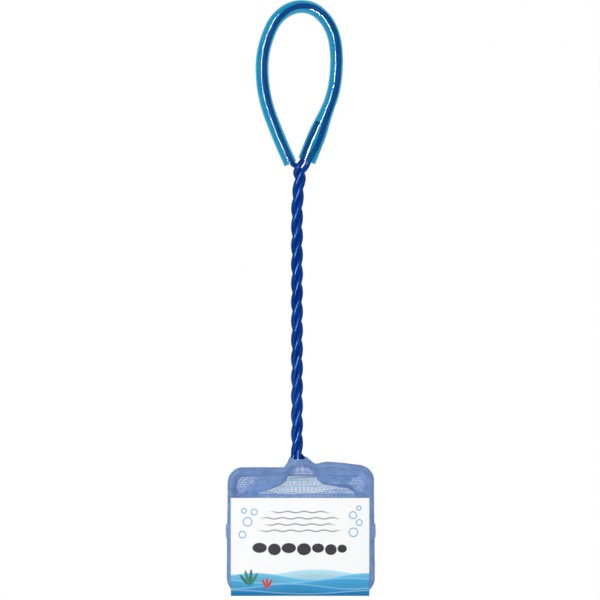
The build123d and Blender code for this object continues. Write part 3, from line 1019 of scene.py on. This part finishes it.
    def seam_route(self) -> Route:
        """The seam's line, from the left of the hem round the bag's end to the right.

        Returns:
            The line.
        """
        middle, turn = self.mouth.middle_x, self.seam_corner
        places = []
        for step in range(self.seam_steps + 1):
            share = self.seam_start + (1 - self.seam_start - turn / self.depth) * step / self.seam_steps
            places.append((middle - self.section(share)[0] - self.seam_out, self.depth * share))
        centre_x, centre_y = places[-1][0] + turn, places[-1][1]
        for step in range(1, self.corner_steps + 1):
            angle = pi - pi / 2 * step / self.corner_steps
            places.append((centre_x + turn * cos(angle), centre_y + (turn + self.seam_bulge) * sin(angle)))
        places += [(2 * middle - x, y) for x, y in reversed(places)]
        points = [Vector((x, y, self.seam_height(y))) for x, y in places]
        ends = zip(points[:1] + points[:-1], points[1:] + points[-1:])
        ways = [(after - before).normalized() for before, after in ends]
        return Route(list(zip(points, ways)), 4)

    def roll_place(self, route: Route, around: float, along: float) -> Vector:
        """A place on the seam's rolled edge.

        Args:
            route: the seam's line.
            around: share of the way round it.
            along: share of the way along it.

        Returns:
            The place.
        """
        point, way = route.at(route.total * along)
        out = way.cross(self.seam_up).normalized()
        angle = 2 * pi * around
        return point + self.seam_roll[0] * cos(angle) * out + self.seam_roll[1] * sin(angle) * self.seam_up

    def make_seam(self, material: Material) -> None:
        """Makes the overlocked seam: a rolled edge wound with slanting stitches.

        Args:
            material: the thread's finish.
        """
        route = self.seam_route()
        made = self.seam_net.sheet(partial(self.roll_place, route), self.seam_roll[2], route.total)
        bmesh.ops.holes_fill(made, edges=[edge for edge in made.edges if edge.is_boundary])
        count = round(route.total / self.seam_pitch)
        for index in range(count):
            point, way = route.at(route.total * (index + 0.5) / count)
            out = way.cross(self.seam_up).normalized()
            slant = way * (self.slant if index % 2 else -self.slant)
            self.slant_stitch.add(made, point + self.stitch_out[0] * out, (self.seam_up + slant).normalized())
            self.edge_stitch.add(made, point + self.stitch_out[1] * out, way)
        sew("bag_seam_overlock", "bag_seam", made, material)


@dataclass(frozen=True)
class PleatLines:
    """One side's pleat in millimetres: X over Z of its inner edge and of its outer one, and its creases."""

    edge: Spline
    corner: Spline
    creases: tuple[tuple[Pair, Pair], ...]


@dataclass
class MouthFolds:
    """The gathered netting that shows in the mouth above the card.

    The lobe is the fold of the lower panel behind the card, with a tight roll along its upper edge.
    The apron runs from it back to the bag's floor. The band is a low pleat of dense netting right behind
    the card's upper edge, put there as painted shade for the card's shadow, and the columns hang from the
    web's stitches. Sizes without the factor MM are in millimetres.
    """

    mouth: Mouth
    pleat_fall: Pair = (-237.9 * MM, -256 * MM)
    hem_gap: float = 0.4 * MM
    crease_lift: float = 1.0 * MM
    crease_width: float = 0.6
    side_wave: Wave = Wave(0.7 * MM, 7 * MM, 5.0)
    back_wave: Wave = Wave(0.8 * MM, 7 * MM, 6.0)
    lobe_span: Pair = (-24.0, 31.4)
    lobe_fall: Pair = (-243.6, -252.6)
    lobe_depth: float = 1.4
    lobe_curl: Pair = (0.9, 1.2)
    lobe_wave: Wave = Wave(0.35 * MM, 6 * MM, 9.3)
    apron_reach: float = 36 * MM
    apron_rise: float = 1.0 * MM
    apron_taper: Pair = (9.0, -12.0)
    apron_wave: Wave = Wave(0.8 * MM, 8 * MM, 2.9)
    roll_span: Pair = (-17.0, 24.0)
    roll_depth: float = 0.9
    roll_radius: float = 0.36
    shade_band_fall: Pair = (-247.6, -252.4)
    shade_band_depth: float = 0.4 * MM
    shade_band_sway: Wave = Wave(1.0, 9 * MM, 4.1)
    columns_span: Pair = (-21.0, 26.4)
    columns_fall: Pair = (-237.9, -250.3)
    columns_depth: float = 5.4
    columns_wave: Wave = Wave(0.5 * MM, 5 * MM, 7.1)
    left: PleatLines = PleatLines(
        Spline((
            (-256.0, -31.2), (-252.6, -26.6), (-250.0, -23.5), (-246.9, -18.6),
            (-245.6, -14.0), (-242.6, -7.4), (-240.0, -5.2), (-237.6, -4.0),
        )),
        Spline((
            (-256.0, -32.4), (-252.0, -30.4), (-248.0, -28.0), (-244.6, -25.6),
            (-241.8, -22.6), (-238.6, -16.8), (-237.6, -14.6),
        )),
        (
            ((-31.8, -246.4), (-27.4, -243.4)),
            ((-28.0, -248.0), (-25.6, -244.6)),
            ((-25.6, -244.6), (-22.6, -241.8)),
            ((-22.6, -241.8), (-16.8, -238.6)),
        ),
    )
    right: PleatLines = PleatLines(
        Spline((
            (-256.0, 34.8), (-252.6, 32.6), (-250.0, 31.0), (-246.0, 28.5),
            (-243.9, 21.0), (-243.2, 14.6), (-241.0, 11.2), (-237.6, 8.6),
        )),
        Spline((
            (-256.0, 35.8), (-252.0, 33.4), (-249.0, 31.9), (-246.0, 31.2),
            (-243.0, 29.6), (-239.2, 24.0), (-237.6, 12.0),
        )),
        (
            ((12.0, -238.0), (24.0, -239.2)),
            ((24.0, -239.2), (29.6, -243.0)),
            ((29.6, -243.0), (31.2, -249.0)),
        ),
    )
    front_edge: Spline = Spline((
        (-24.0, -251.5), (-18.6, -246.6), (-11.0, -247.6), (-3.0, -248.3), (4.0, -248.3), (12.0, -247.2),
        (18.6, -245.6), (22.6, -244.1), (26.0, -243.9), (28.8, -245.4), (30.4, -248.6), (31.4, -252.0),
    ))

    def lines(self, which: Side) -> PleatLines:
        """The lines of one side's pleat."""
        return self.left if which is Side.LEFT else self.right

    def creased(self, which: Side, x: float, y: float, z: float) -> Vector:
        """A place on a side's cloth, lifted by that side's creases and a little uneven.

        Args:
            which: the side.
            x: the place's X.
            y: its depth on smooth cloth.
            z: its Z.

        Returns:
            The place on the creased cloth.
        """
        for (start_x, start_z), (end_x, end_z) in self.lines(which).creases:
            way = Vector((end_x - start_x, end_z - start_z))
            here = Vector((x / MM - start_x, z / MM - start_z))
            along = min(max(here.dot(way) / way.length_squared, 0.0), 1.0)
            y -= self.crease_lift * exp(-(((here - way * along).length / self.crease_width) ** 2))
        return self.side_wave.moved(Vector((x, y, z)), shift=which.value)

    def corner_fold(self, which: Side, across: float, down: float) -> Vector:
        """A place on the single cloth in one corner of the mouth.

        Args:
            which: the side.
            across: share of the way from the hem in to the pleat.
            down: share of the way from the top down.

        Returns:
            The place.
        """
        z = between(self.pleat_fall, down)
        outer = self.mouth.side(which, z) - which.value * self.hem_gap
        x = between((outer, self.lines(which).corner.at(z / MM) * MM), across)
        return self.creased(which, x, (1.0 + 2.2 * across * min(1.0, 3 * down)) * MM, z)

    def side_fold(self, which: Side, across: float, down: float) -> Vector:
        """A place on the pleat beside the middle of the mouth.

        Args:
            which: the side.
            across: share of the way from the corner's cloth inwards.
            down: share of the way from the top down.

        Returns:
            The place.
        """
        z = between(self.pleat_fall, down)
        lines = self.lines(which)
        outer = (lines.corner.at(z / MM) + which.value * 0.5) * MM
        x = between((outer, lines.edge.at(z / MM) * MM), across)
        roll = max(0.0, (across - 0.94) / 0.06)
        y = (1.0 + (1.8 + 0.8 * min(1.0, 3 * across)) * min(1.0, 3 * down) + 0.4 * roll**2) * MM
        return self.creased(which, x, y, z)

    def side_back(self, which: Side, across: float, down: float) -> Vector:
        """A place on the back of a side's pleat.

        Args:
            which: the side.
            across: share of the way from the inner edge out to the corner's cloth.
            down: share of the way from the top down.

        Returns:
            The place.
        """
        z = between(self.pleat_fall, down)
        lines = self.lines(which)
        x = between((lines.edge.at(z / MM) * MM, lines.corner.at(z / MM) * MM), across)
        return self.back_wave.moved(Vector((x, (4.2 + 9.0 * across * down) * MM, z)), shift=which.value)

    def front_fold(self, across: float, down: float) -> Vector:
        """A place on the lobe.

        Args:
            across: share of the way from left to right.
            down: share of the way from its rolled edge down.

        Returns:
            The place.
        """
        x = between(self.lobe_span, across)
        edge = self.front_edge.at(x)
        z = min(between(self.lobe_fall, down), edge)
        lift, reach = self.lobe_curl
        curl = max(0.0, 1 - (edge - z) / reach)
        return self.lobe_wave.moved(Vector((x, self.lobe_depth + lift * curl**2, z)) * MM)

    def apron(self, floor: float, across: float, down: float) -> Vector:
        """A place on the apron.

        Args:
            floor: the height of the bag's floor where the apron meets it.
            across: share of the way from left to right.
            down: share of the way from the lobe down.

        Returns:
            The place.
        """
        y = self.lobe_depth * MM + self.apron_reach * down**1.6
        z = between((self.lobe_fall[1] * MM, floor + self.apron_rise), 1 - (1 - down) ** 1.5)
        left, right = (end + taper * down for end, taper in zip(self.lobe_span, self.apron_taper))
        here = Vector((between((left, right), across) * MM, y, z))
        return self.apron_wave.moved(here, min(1.0, 6 * down))

    def front_crease(self, across: float, around: float) -> Vector:
        """A place on the tight roll along the lobe's upper edge.

        Args:
            across: share of the way from left to right.
            around: share of the way round the roll.

        Returns:
            The place.
        """
        x = between(self.roll_span, across)
        angle = 2 * pi * around
        place = Vector((x, self.roll_depth, self.front_edge.at(x) - 0.1))
        return (place + self.roll_radius * Vector((0, -cos(angle), sin(angle)))) * MM

    def front_shade_band(self, across: float, down: float) -> Vector:
        """A place on the band, the painted shade behind the card's upper edge.

        Args:
            across: share of the way from left to right.
            down: share of the way from the top down.

        Returns:
            The place.
        """
        z = between(self.shade_band_fall, down) * MM
        left, right = (self.mouth.side(side, z) - side.value * self.hem_gap for side in Side)
        here = Vector((between((left, right), across), self.shade_band_depth, z))
        sway = self.shade_band_sway.at(here) * (1 - down)
        return here + Vector((0, 0.2 * MM * sway, 0.5 * MM * sway))

    def middle_fold(self, across: float, down: float) -> Vector:
        """A place on the columns, by shares of the way from left to right and from the top down."""
        x, z = between(self.columns_span, across), between(self.columns_fall, down)
        return self.columns_wave.moved(Vector((x, self.columns_depth, z)) * MM)


@dataclass(frozen=True)
class Stretch:
    """A stretch of the hem's tunnel.

    It has its piece's name, its CAD node, the lengths along the wire where it and its sewn-down edge
    start and end, that edge's cells across, and the side of the neck that it reaches, if any.
    """

    name: str
    node: str
    span: Pair
    edge: Pair
    cells: int
    neck: Side | None = None


@dataclass
class Hem:
    """The netting's tunnel round the frame wire, with the web at the neck and its stitches.

    The tent, the neck's rows and the nodes of the wire's middle line are in millimetres.
    """

    mouth: Mouth
    radius: float = 1.88 * MM
    layer: float = 0.22 * MM
    net: Netting = Netting(0.62 * MM, 0.84 * MM, 0.24 * MM, 0.14 * MM)
    tunnel_slack: Wave = Wave(0.11 * MM, 3.2 * MM, 2.2)
    edge_inset: float = 0.25 * MM
    edge_starts: Pair = (7.5 * MM, 7.0 * MM)
    edge_layers: tuple[Pair, ...] = ((-0.9 * MM, 1.0), (0.9 * MM, 1.29), (-0.3 * MM, 0.83), (0.3 * MM, 1.14))
    tent: tuple[Pair, ...] = ((1.5, -230.4), (-4.1, -238.4), (2.6, -230.4), (9.0, -237.4))
    gusset_start: float = 0.6 * MM
    gusset_size: Pair = (4.6 * MM, 9.4 * MM)
    gusset_wave: Wave = Wave(0.1 * MM, 2.5 * MM, 5.5)
    web_net: Netting = Netting(0.62 * MM, 0.75 * MM, 0.2 * MM)
    web_width: float = 13 * MM
    web_start: float = 1.0 * MM
    web_sides: Pair = (8.6 * MM, 8.0 * MM)
    web_foot: float = 0.6 * MM
    web_layers: Rows = ((-1.2 * MM, 6.6, 13 * MM, 9 * MM), (0.9 * MM, 7.9, 16 * MM, 11 * MM))
    web_wave: Wave = Wave(0.25 * MM, 4 * MM, 0.0)
    collar: Triple = (3.8 * MM, 3.8 * MM, 3.6 * MM)
    collar_layers: Triple = (1.0, 1.05, 1.1)
    collar_wave: Wave = Wave(0.04, 1.5 * MM, 4.4)
    stitch_inset: float = 0.35 * MM
    stitch_front: float = -0.45 * MM
    stitch_pitch: float = 1.9 * MM
    hem_stitch: Stitch = Stitch(0.62 * MM, 0.19 * MM)
    neck_stitch: Stitch = Stitch(0.42 * MM, 0.2 * MM)
    neck_rows: Rows = (
        ((-4.0, -1.5, -237.6), (9.0, -1.5, -237.4), 13),
        ((-3.2, -1.2, -239.6), (8.8, -1.2, -238.7), 12),
    )
    tack_wraps: int = 15
    tack_thread: float = 0.28 * MM
    tack_inset: float = 0.25 * MM
    tack_tilt: float = radians(7)
    nodes: tuple[tuple[Triple, Triple], ...] = (
        ((-2.142, 0.048, -229.532), (-0.4027, -0.0156, -0.9152)),
        ((-7.2, 0.0, -235.832), (-1.0, 0.0, 0.0)),
        ((-27.8, 0.0, -235.832), (-1.0, 0.0, 0.0)),
        ((-33.8, 0.0, -241.832), (-0.0102, 0.0, -0.9999)),
        ((-34.3, 0.0, -290.632), (-0.0102, 0.0, -0.9999)),
        ((-27.3, 0.0, -297.632), (1.0, 0.0, 0.0)),
        ((31.2, 0.0, -297.632), (1.0, 0.0, 0.0)),
        ((38.2, 0.0, -290.632), (-0.01, 0.0, 1.0)),
        ((37.7, 0.0, -240.572), (-0.01, 0.0, 1.0)),
        ((31.7, 0.0, -234.572), (-0.9956, 0.0, 0.0941)),
        ((15.4, 0.0, -233.032), (-1.0, 0.0, 0.0)),
        ((9.8, 0.0, -233.932), (-1.0, 0.0, 0.0)),
        ((3.618, 0.734, -229.932), (-0.7691, 0.1277, 0.6263)),
    )

    @cached_property
    def route(self) -> Route:
        """The tunnel's middle line."""
        return Route([(Vector(point) * MM, Vector(way).normalized()) for point, way in self.nodes])

    def tunnel_place(self, span: Pair, radius: float, shift: float, around: float, along: float) -> Vector:
        """A place on one layer of the tunnel.

        Args:
            span: lengths along the route where the layer starts and ends.
            radius: the layer's radius.
            shift: the layer's turn round the wire, as a share of the way round.
            around: share of the way round.
            along: share of the way along the span.

        Returns:
            The place.
        """
        point, way = self.route.at(between(span, along))
        side = way.cross(Vector((0, 1, 0))).normalized()
        front = side.cross(way).normalized()
        angle = 2 * pi * (around + shift)
        out = side * cos(angle) + front * sin(angle)
        return point + out * (radius + self.tunnel_slack.at(point + out * radius))

    def edge_place(self, span: Pair, y: float, inwards: float, along: float) -> Vector:
        """A place on the sewn-down edge of the fold.

        Args:
            span: lengths along the route where the edge starts and ends.
            y: the layer's depth at the tunnel.
            inwards: share of the way from the tunnel in to the stitches.
            along: share of the way along the span.

        Returns:
            The place.
        """
        point = self.route.at(between(span, along))[0]
        inner = self.mouth.nearest(point, self.edge_inset)
        tunnel = point + (inner - point).normalized() * 0.7 * self.radius
        tunnel.y += y
        inner.y = y * 0.3 - 0.1 * MM
        return tunnel.lerp(inner, inwards)

    def gusset_place(self, which: Side, y: float, inwards: float, down: float) -> Vector:
        """A place on the dense stretch of hem at the neck.

        Args:
            which: the side.
            y: the layer's depth.
            inwards: share of the way from the wire in to the web's pale middle.
            down: share of the way down.

        Returns:
            The place.
        """
        (top_x, top_z), (foot_x, foot_z) = self.tent[:2] if which is Side.LEFT else self.tent[2:]
        along = self.gusset_start + self.gusset_size[1] * down
        wire = self.route.at(along if which is Side.LEFT else self.route.total - along)[0]
        inner = Vector((between((top_x, foot_x), down), 0, between((top_z, foot_z), down))) * MM
        here = wire.lerp(inner, inwards)
        here.y = y * (1 - 0.4 * inwards)
        return self.gusset_wave.moved(here)

    def make_tunnel(self, stretch: Stretch, material: Material) -> None:
        """Knits a stretch of the tunnel, two layers deep, with its sewn-down edge.

        Args:
            stretch: the stretch.
            material: the netting's finish.
        """
        girth = 2 * pi * self.radius
        length = stretch.span[1] - stretch.span[0]
        edge_wide, edge_long = stretch.cells * self.net.across, stretch.edge[1] - stretch.edge[0]
        layers = []
        for index in range(2):
            radius, shift = self.radius - index * self.layer, index * 0.5 * self.net.across / girth
            tunnel = partial(self.tunnel_place, stretch.span, radius, shift)
            layers.append(Layer(self.net, tunnel, girth, length))
        for y, step in self.edge_layers[: 2 if stretch.neck is None else 4]:
            edge = partial(self.edge_place, stretch.edge, y)
            layers.append(Layer(self.net, edge, step * edge_wide, step * edge_long))
            if stretch.neck is not None:
                gusset = partial(self.gusset_place, stretch.neck, 1.3 * y)
                layers.append(Layer(self.net, gusset, *(step * size for size in self.gusset_size)))
        knit(stretch.name, stretch.node, layers, Cloth(2 * girth, length, Held.FOLDED), material)

    def web_place(self, depth: float, seed: float, across: float, down: float) -> Vector:
        """A place on one layer of the web.

        Args:
            depth: the layer's depth in its middle.
            seed: where its unevenness starts.
            across: share of the way from the left wire to the right one.
            down: share of the way from the neck down.

        Returns:
            The place.
        """
        left = self.route.at(self.web_start + self.web_sides[0] * down)[0]
        right = self.route.at(self.route.total - self.web_start - self.web_sides[1] * down)[0]
        here = left.lerp(right, across)
        here.z += (self.mouth.top - self.web_foot - here.z) * down**3
        here.y = 0.2 * MM + depth * sin(pi * across) * (1 - 0.5 * down)
        return self.web_wave.moved(here, shift=seed)

    def collar_place(self, grow: float, around: float, down: float) -> Vector:
        """A place on a layer of the gathered collar round both wires at the foot of the shaft.

        Args:
            grow: the layer's share of the collar's size.
            around: share of the way round.
            down: share of the way down.

        Returns:
            The place.
        """
        wide, deep, tall = self.collar
        left = self.route.at(tall * down)[0]
        right = self.route.at(self.route.total - tall * 1.1 * down)[0]
        reach = wide + ((right - left).length / 2 + self.radius - wide) * down**1.2
        angle = 2 * pi * around
        out = Vector((reach * cos(angle), deep * (1 - 0.45 * down) * sin(angle), 0))
        return (left + right) / 2 + out * (grow + self.collar_wave.at(out, 3 * grow))

    def make_web(self, material: Material) -> None:
        """Knits the web between the two wires of the neck, and its collar.

        Args:
            material: the netting's finish.
        """
        layers = []
        for depth, seed, width, length in self.web_layers:
            layers.append(Layer(self.web_net, partial(self.web_place, depth, seed), width, length))
        girth = 2 * pi * self.collar[0]
        for grow in self.collar_layers:
            step = 1 + 6 * (grow - 1.04)
            collar = partial(self.collar_place, grow)
            layers.append(Layer(self.web_net, collar, step * girth, step * self.collar[2]))
        cloth = Cloth(self.web_width, 0.0, Held.STRETCHED, 1.002)
        knit("neck_web_netting", "neck_web", layers, cloth, material)

    def make_stitches(self, material: Material) -> None:
        """Sews the hem: a row of stitches round the mouth and two short rows at the neck.

        Args:
            material: the thread's finish.
        """
        made = bmesh.new()
        for place, way in self.mouth.round_trip(self.stitch_inset, self.stitch_pitch):
            self.hem_stitch.add(made, place + Vector((0, self.stitch_front, 0)), way)
        for start, end, count in self.neck_rows:
            first, last = Vector(start) * MM, Vector(end) * MM
            for index in range(count):
                place = first.lerp(last, index / (count - 1))
                self.neck_stitch.add(made, place, (last - first).normalized())
        sew("hem_stitches", "hem_thread", made, material)

    def make_tack(self, name: str, node: str, material: Material) -> None:
        """Winds the bar tack on one side of the hem.

        Args:
            name: the piece's name.
            node: the CAD node it stands for.
            material: the thread's finish.
        """
        low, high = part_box(node)
        centre = (low + high) / 2
        radius = (high.y - low.y) / 2 - self.tack_inset
        upright = Matrix.Rotation(pi / 2, 4, "X")
        made = bmesh.new()
        for index in range(self.tack_wraps):
            share = (index + 0.5) / self.tack_wraps
            out = Matrix.Translation((radius * (0.9 + 0.1 * sin(pi * share)), 0, 0))
            ring = bmesh.ops.create_circle(made, segments=6, radius=self.tack_thread, matrix=out @ upright)
            edges = list({edge for vert in ring["verts"] for edge in vert.link_edges})
            geom = ring["verts"] + edges
            bmesh.ops.spin(
                made, geom=geom, cent=(0, 0, 0), axis=(0, 0, 1), angle=2 * pi, steps=16, use_merge=True
            )
            fresh = [vert for vert in made.verts if not vert.tag]
            tilt = Matrix.Rotation(self.tack_tilt if index % 2 else -self.tack_tilt, 4, "Y")
            where = Matrix.Translation((centre.x, centre.y, between((low.z, high.z), share)))
            bmesh.ops.transform(made, matrix=where @ tilt, verts=fresh)
            for vert in fresh:
                vert.tag = True
        sew(name, node, made, material)

    def build(self, net: Material, thread: Material, stitch: Material) -> None:
        """Makes the tunnel, the web, the stitches and the tacks.

        Args:
            net: the netting's finish.
            thread: the finish of the tacks' thread.
            stitch: the finish of the hem's thread.
        """
        total = self.route.total
        left, right = (self.route.length_at_height(self.mouth.middle_z, rising) for rising in (False, True))
        first, last = self.edge_starts[0], total - self.edge_starts[1]
        stretches = (
            ("hem_netting_upper_left", "hem_upper_left", (0.0, left), (first, left), 3, Side.LEFT),
            ("hem_netting_lower", "hem_lower", (left, right), (left, right), 3),
            ("hem_netting_upper_right", "hem_upper_right", (right, total), (right, last), 7, Side.RIGHT),
        )
        for stretch in stretches:
            self.make_tunnel(Stretch(*stretch), net)
        self.make_web(net)
        self.make_stitches(stitch)
        self.make_tack("left_bar_tack", "left_tack", thread)
        self.make_tack("right_bar_tack", "right_tack", thread)


def dress_node(node: str, material: Material) -> None:
    """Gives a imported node's object a finish.

    Args:
        node: the node's name.
        material: its finish.
    """
    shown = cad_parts[node]
    shown.data.materials.clear()
    shown.data.materials.append(material)
    LOG.info("%s: dressed", node)


@dataclass
class Handle:
    """The wire, its coat and the grip tube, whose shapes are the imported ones."""

    coats: tuple[str, ...] = ("loop_coat", "shaft_coat_b", "shaft_coat_c", "frame_coat")
    cut_coat: str = "shaft_coat_a"

    def dress(self) -> None:
        """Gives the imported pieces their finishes."""
        coat = VinylCoat().material()
        for node in self.coats:
            dress_node(node, coat)
        dress_node(self.cut_coat, VinylCoat("cut_vinyl_coat").material(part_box(self.cut_coat)[1]))
        dress_node("steel_core", SteelWire().material())
        dress_node("grip_tube", ClearVinyl().material())


@dataclass(frozen=True)
class Lamp:
    """A soft rectangular lamp."""

    name: str
    place: Triple
    aim: Triple
    size: Pair
    watts: float
    glow: Glow

    def build(self) -> None:
        """Hangs the lamp."""
        data = bpy.data.lights.new(self.name, "AREA")
        data.shape, data.energy = "RECTANGLE", self.watts
        data.size, data.size_y = self.size
        lamp = add_object(self.name, data)
        lamp.location = self.place
        lamp.rotation_euler = (Vector(self.aim) - Vector(self.place)).to_track_quat("-Z", "Y").to_euler()
        lamp.visible_diffuse = self.glow is Glow.SOFT
        lamp.visible_glossy = self.glow is Glow.GLINT
        lamp.visible_transmission = False


@dataclass
class Studio:
    """Camera, lights, floor and backdrop."""

    pixel: float = 0.515 * MM
    origin_px: Pair = (297.0, 13.0)
    frame_px: float = 600.0
    lens: float = 135.0
    sensor: float = 36.0
    ambient: float = 0.5
    mirrored: float = 0.03
    dulled: float = 0.7
    floor_place: Triple = (0, 0.02, -0.42)
    floor_radius: float = 0.34
    floor_pale: Triple = (0.94, 0.945, 0.95)
    floor_speck: Triple = (0.97, 0.97, 0.97)
    lamps: tuple[Lamp, ...] = (
        Lamp("strip_left", (-0.42, -1.0, -0.02), (0.0, 0.0, -0.15), (0.08, 0.7), 4.7, Glow.SOFT),
        Lamp("strip_glint", (-0.24, -1.0, -0.1), (0.0, 0.0, -0.15), (0.1, 0.9), 24.0, Glow.GLINT),
        Lamp("soft_top", (0.3, -1.1, 0.8), (0.0, 0.0, -0.15), (0.9, 0.7), 2.25, Glow.SOFT),
        Lamp("soft_low", (0.1, -1.0, -0.95), (0.0, 0.02, -0.25), (0.8, 0.6), 1.9, Glow.SOFT),
    )

    def camera(self) -> None:
        """Places the camera straight in front, framed as the photograph."""
        half = self.frame_px / 2
        distance = self.frame_px * self.pixel * self.lens / self.sensor
        data = bpy.data.cameras.new("camera")
        data.lens, data.sensor_width = self.lens, self.sensor
        camera = add_object("camera", data)
        right, up = (half - self.origin_px[0]) * self.pixel, (self.origin_px[1] - half) * self.pixel
        camera.location = (right, -distance, up)
        camera.rotation_euler = (pi / 2, 0, 0)
        bpy.context.scene.camera = camera

    def world(self) -> None:
        """Makes a white surrounding for the camera, and even, plain light for the object."""
        world = bpy.data.worlds.new("studio")
        bpy.context.scene.world = world
        graph = Graph(world)
        path = graph.node("ShaderNodeLightPath")
        behind = graph.place("Generated")[1].above(0.25, 0.5)
        glossy = Signal(graph, path.outputs["Is Glossy Ray"])
        through = Signal(graph, path.outputs["Is Transmission Ray"])
        seen = Signal(graph, path.outputs["Is Camera Ray"]).larger(through)
        front = self.ambient + (self.mirrored - self.ambient) * glossy
        level = front + (1 - front) * seen.larger(behind * (1 - self.dulled * glossy))
        light = graph.node("ShaderNodeBackground", {"Color": WHITE, "Strength": level})
        graph.node("ShaderNodeOutputWorld", {"Surface": light.outputs[0]})

    def floor(self) -> None:
        """Lays a plain pale floor under the net, which fades into the surrounding white."""
        made = bmesh.new()
        where = Matrix.Translation(self.floor_place)
        bmesh.ops.create_circle(made, cap_ends=True, segments=96, radius=self.floor_radius, matrix=where)
        floor = add_object("floor", as_mesh("floor", made))
        graph = Graph(bpy.data.materials.new("pale_floor"))
        x, y, _ = graph.place()
        dy = y - self.floor_place[1]
        fade = (x * x + dy * dy).root().above(self.floor_radius * 0.7, self.floor_radius * 0.5)
        colour = graph.blend(graph.grain(300, 3), self.floor_pale, self.floor_speck)
        matt = graph.node("ShaderNodeBsdfPrincipled", {"Base Color": colour, "Roughness": 0.8})
        white = graph.node("ShaderNodeEmission", {"Color": WHITE, "Strength": 1.0})
        seen = Signal(graph, graph.node("ShaderNodeLightPath").outputs["Is Camera Ray"])
        shaders = {0: fade * seen, 1: matt.outputs[0], 2: white.outputs[0]}
        mixed = graph.node("ShaderNodeMixShader", shaders)
        graph.node("ShaderNodeOutputMaterial", {"Surface": mixed.outputs[0]})
        floor.data.materials.append(graph.owner)

    def build(self) -> None:
        """Sets up the whole studio."""
        bpy.context.scene.view_settings.view_transform = "Standard"
        self.camera()
        self.world()
        self.floor()
        for lamp in self.lamps:
            lamp.build()


def main() -> None:
    """Builds the studio and every piece of the net."""
    logging.basicConfig(level=logging.INFO, format="%(message)s")
    Studio().build()
    Handle().dress()
    mouth = Mouth()
    net = NetYarn().material()
    thread = NetYarn("sewing_thread", (0.204, 0.306, 0.681), (0.295, 0.409, 0.817), 0.5).material()
    Hem(mouth).build(net, thread, HemThread().material())
    folds = MouthFolds(mouth)
    bag = Bag(mouth)
    pleats = [(partial(folds.side_fold, side), bag.fold_net) for side in Side]
    pleats += [(partial(folds.corner_fold, side), bag.corner_net) for side in Side]
    pleats += [(partial(folds.side_back, side), bag.column_net) for side in Side]
    bag.make_panel(True, [*pleats, (folds.middle_fold, bag.column_net)], net)
    floor = bag.floor_height(folds.lobe_depth * MM + folds.apron_reach)
    lobe = [(folds.front_fold, bag.lobe_net), (folds.front_crease, bag.crease_net)]
    # painted shade: the band's dense netting stands for the card's shadow above its upper edge
    lobe += [(partial(folds.apron, floor), bag.column_net), (folds.front_shade_band, bag.shade_band_net)]
    bag.make_panel(False, lobe, net)
    bag.make_seam(thread)
    low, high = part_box("header_card")
    dress_node("header_card", CardPrint().material(low, high))


if __name__ == "__main__":
    main()
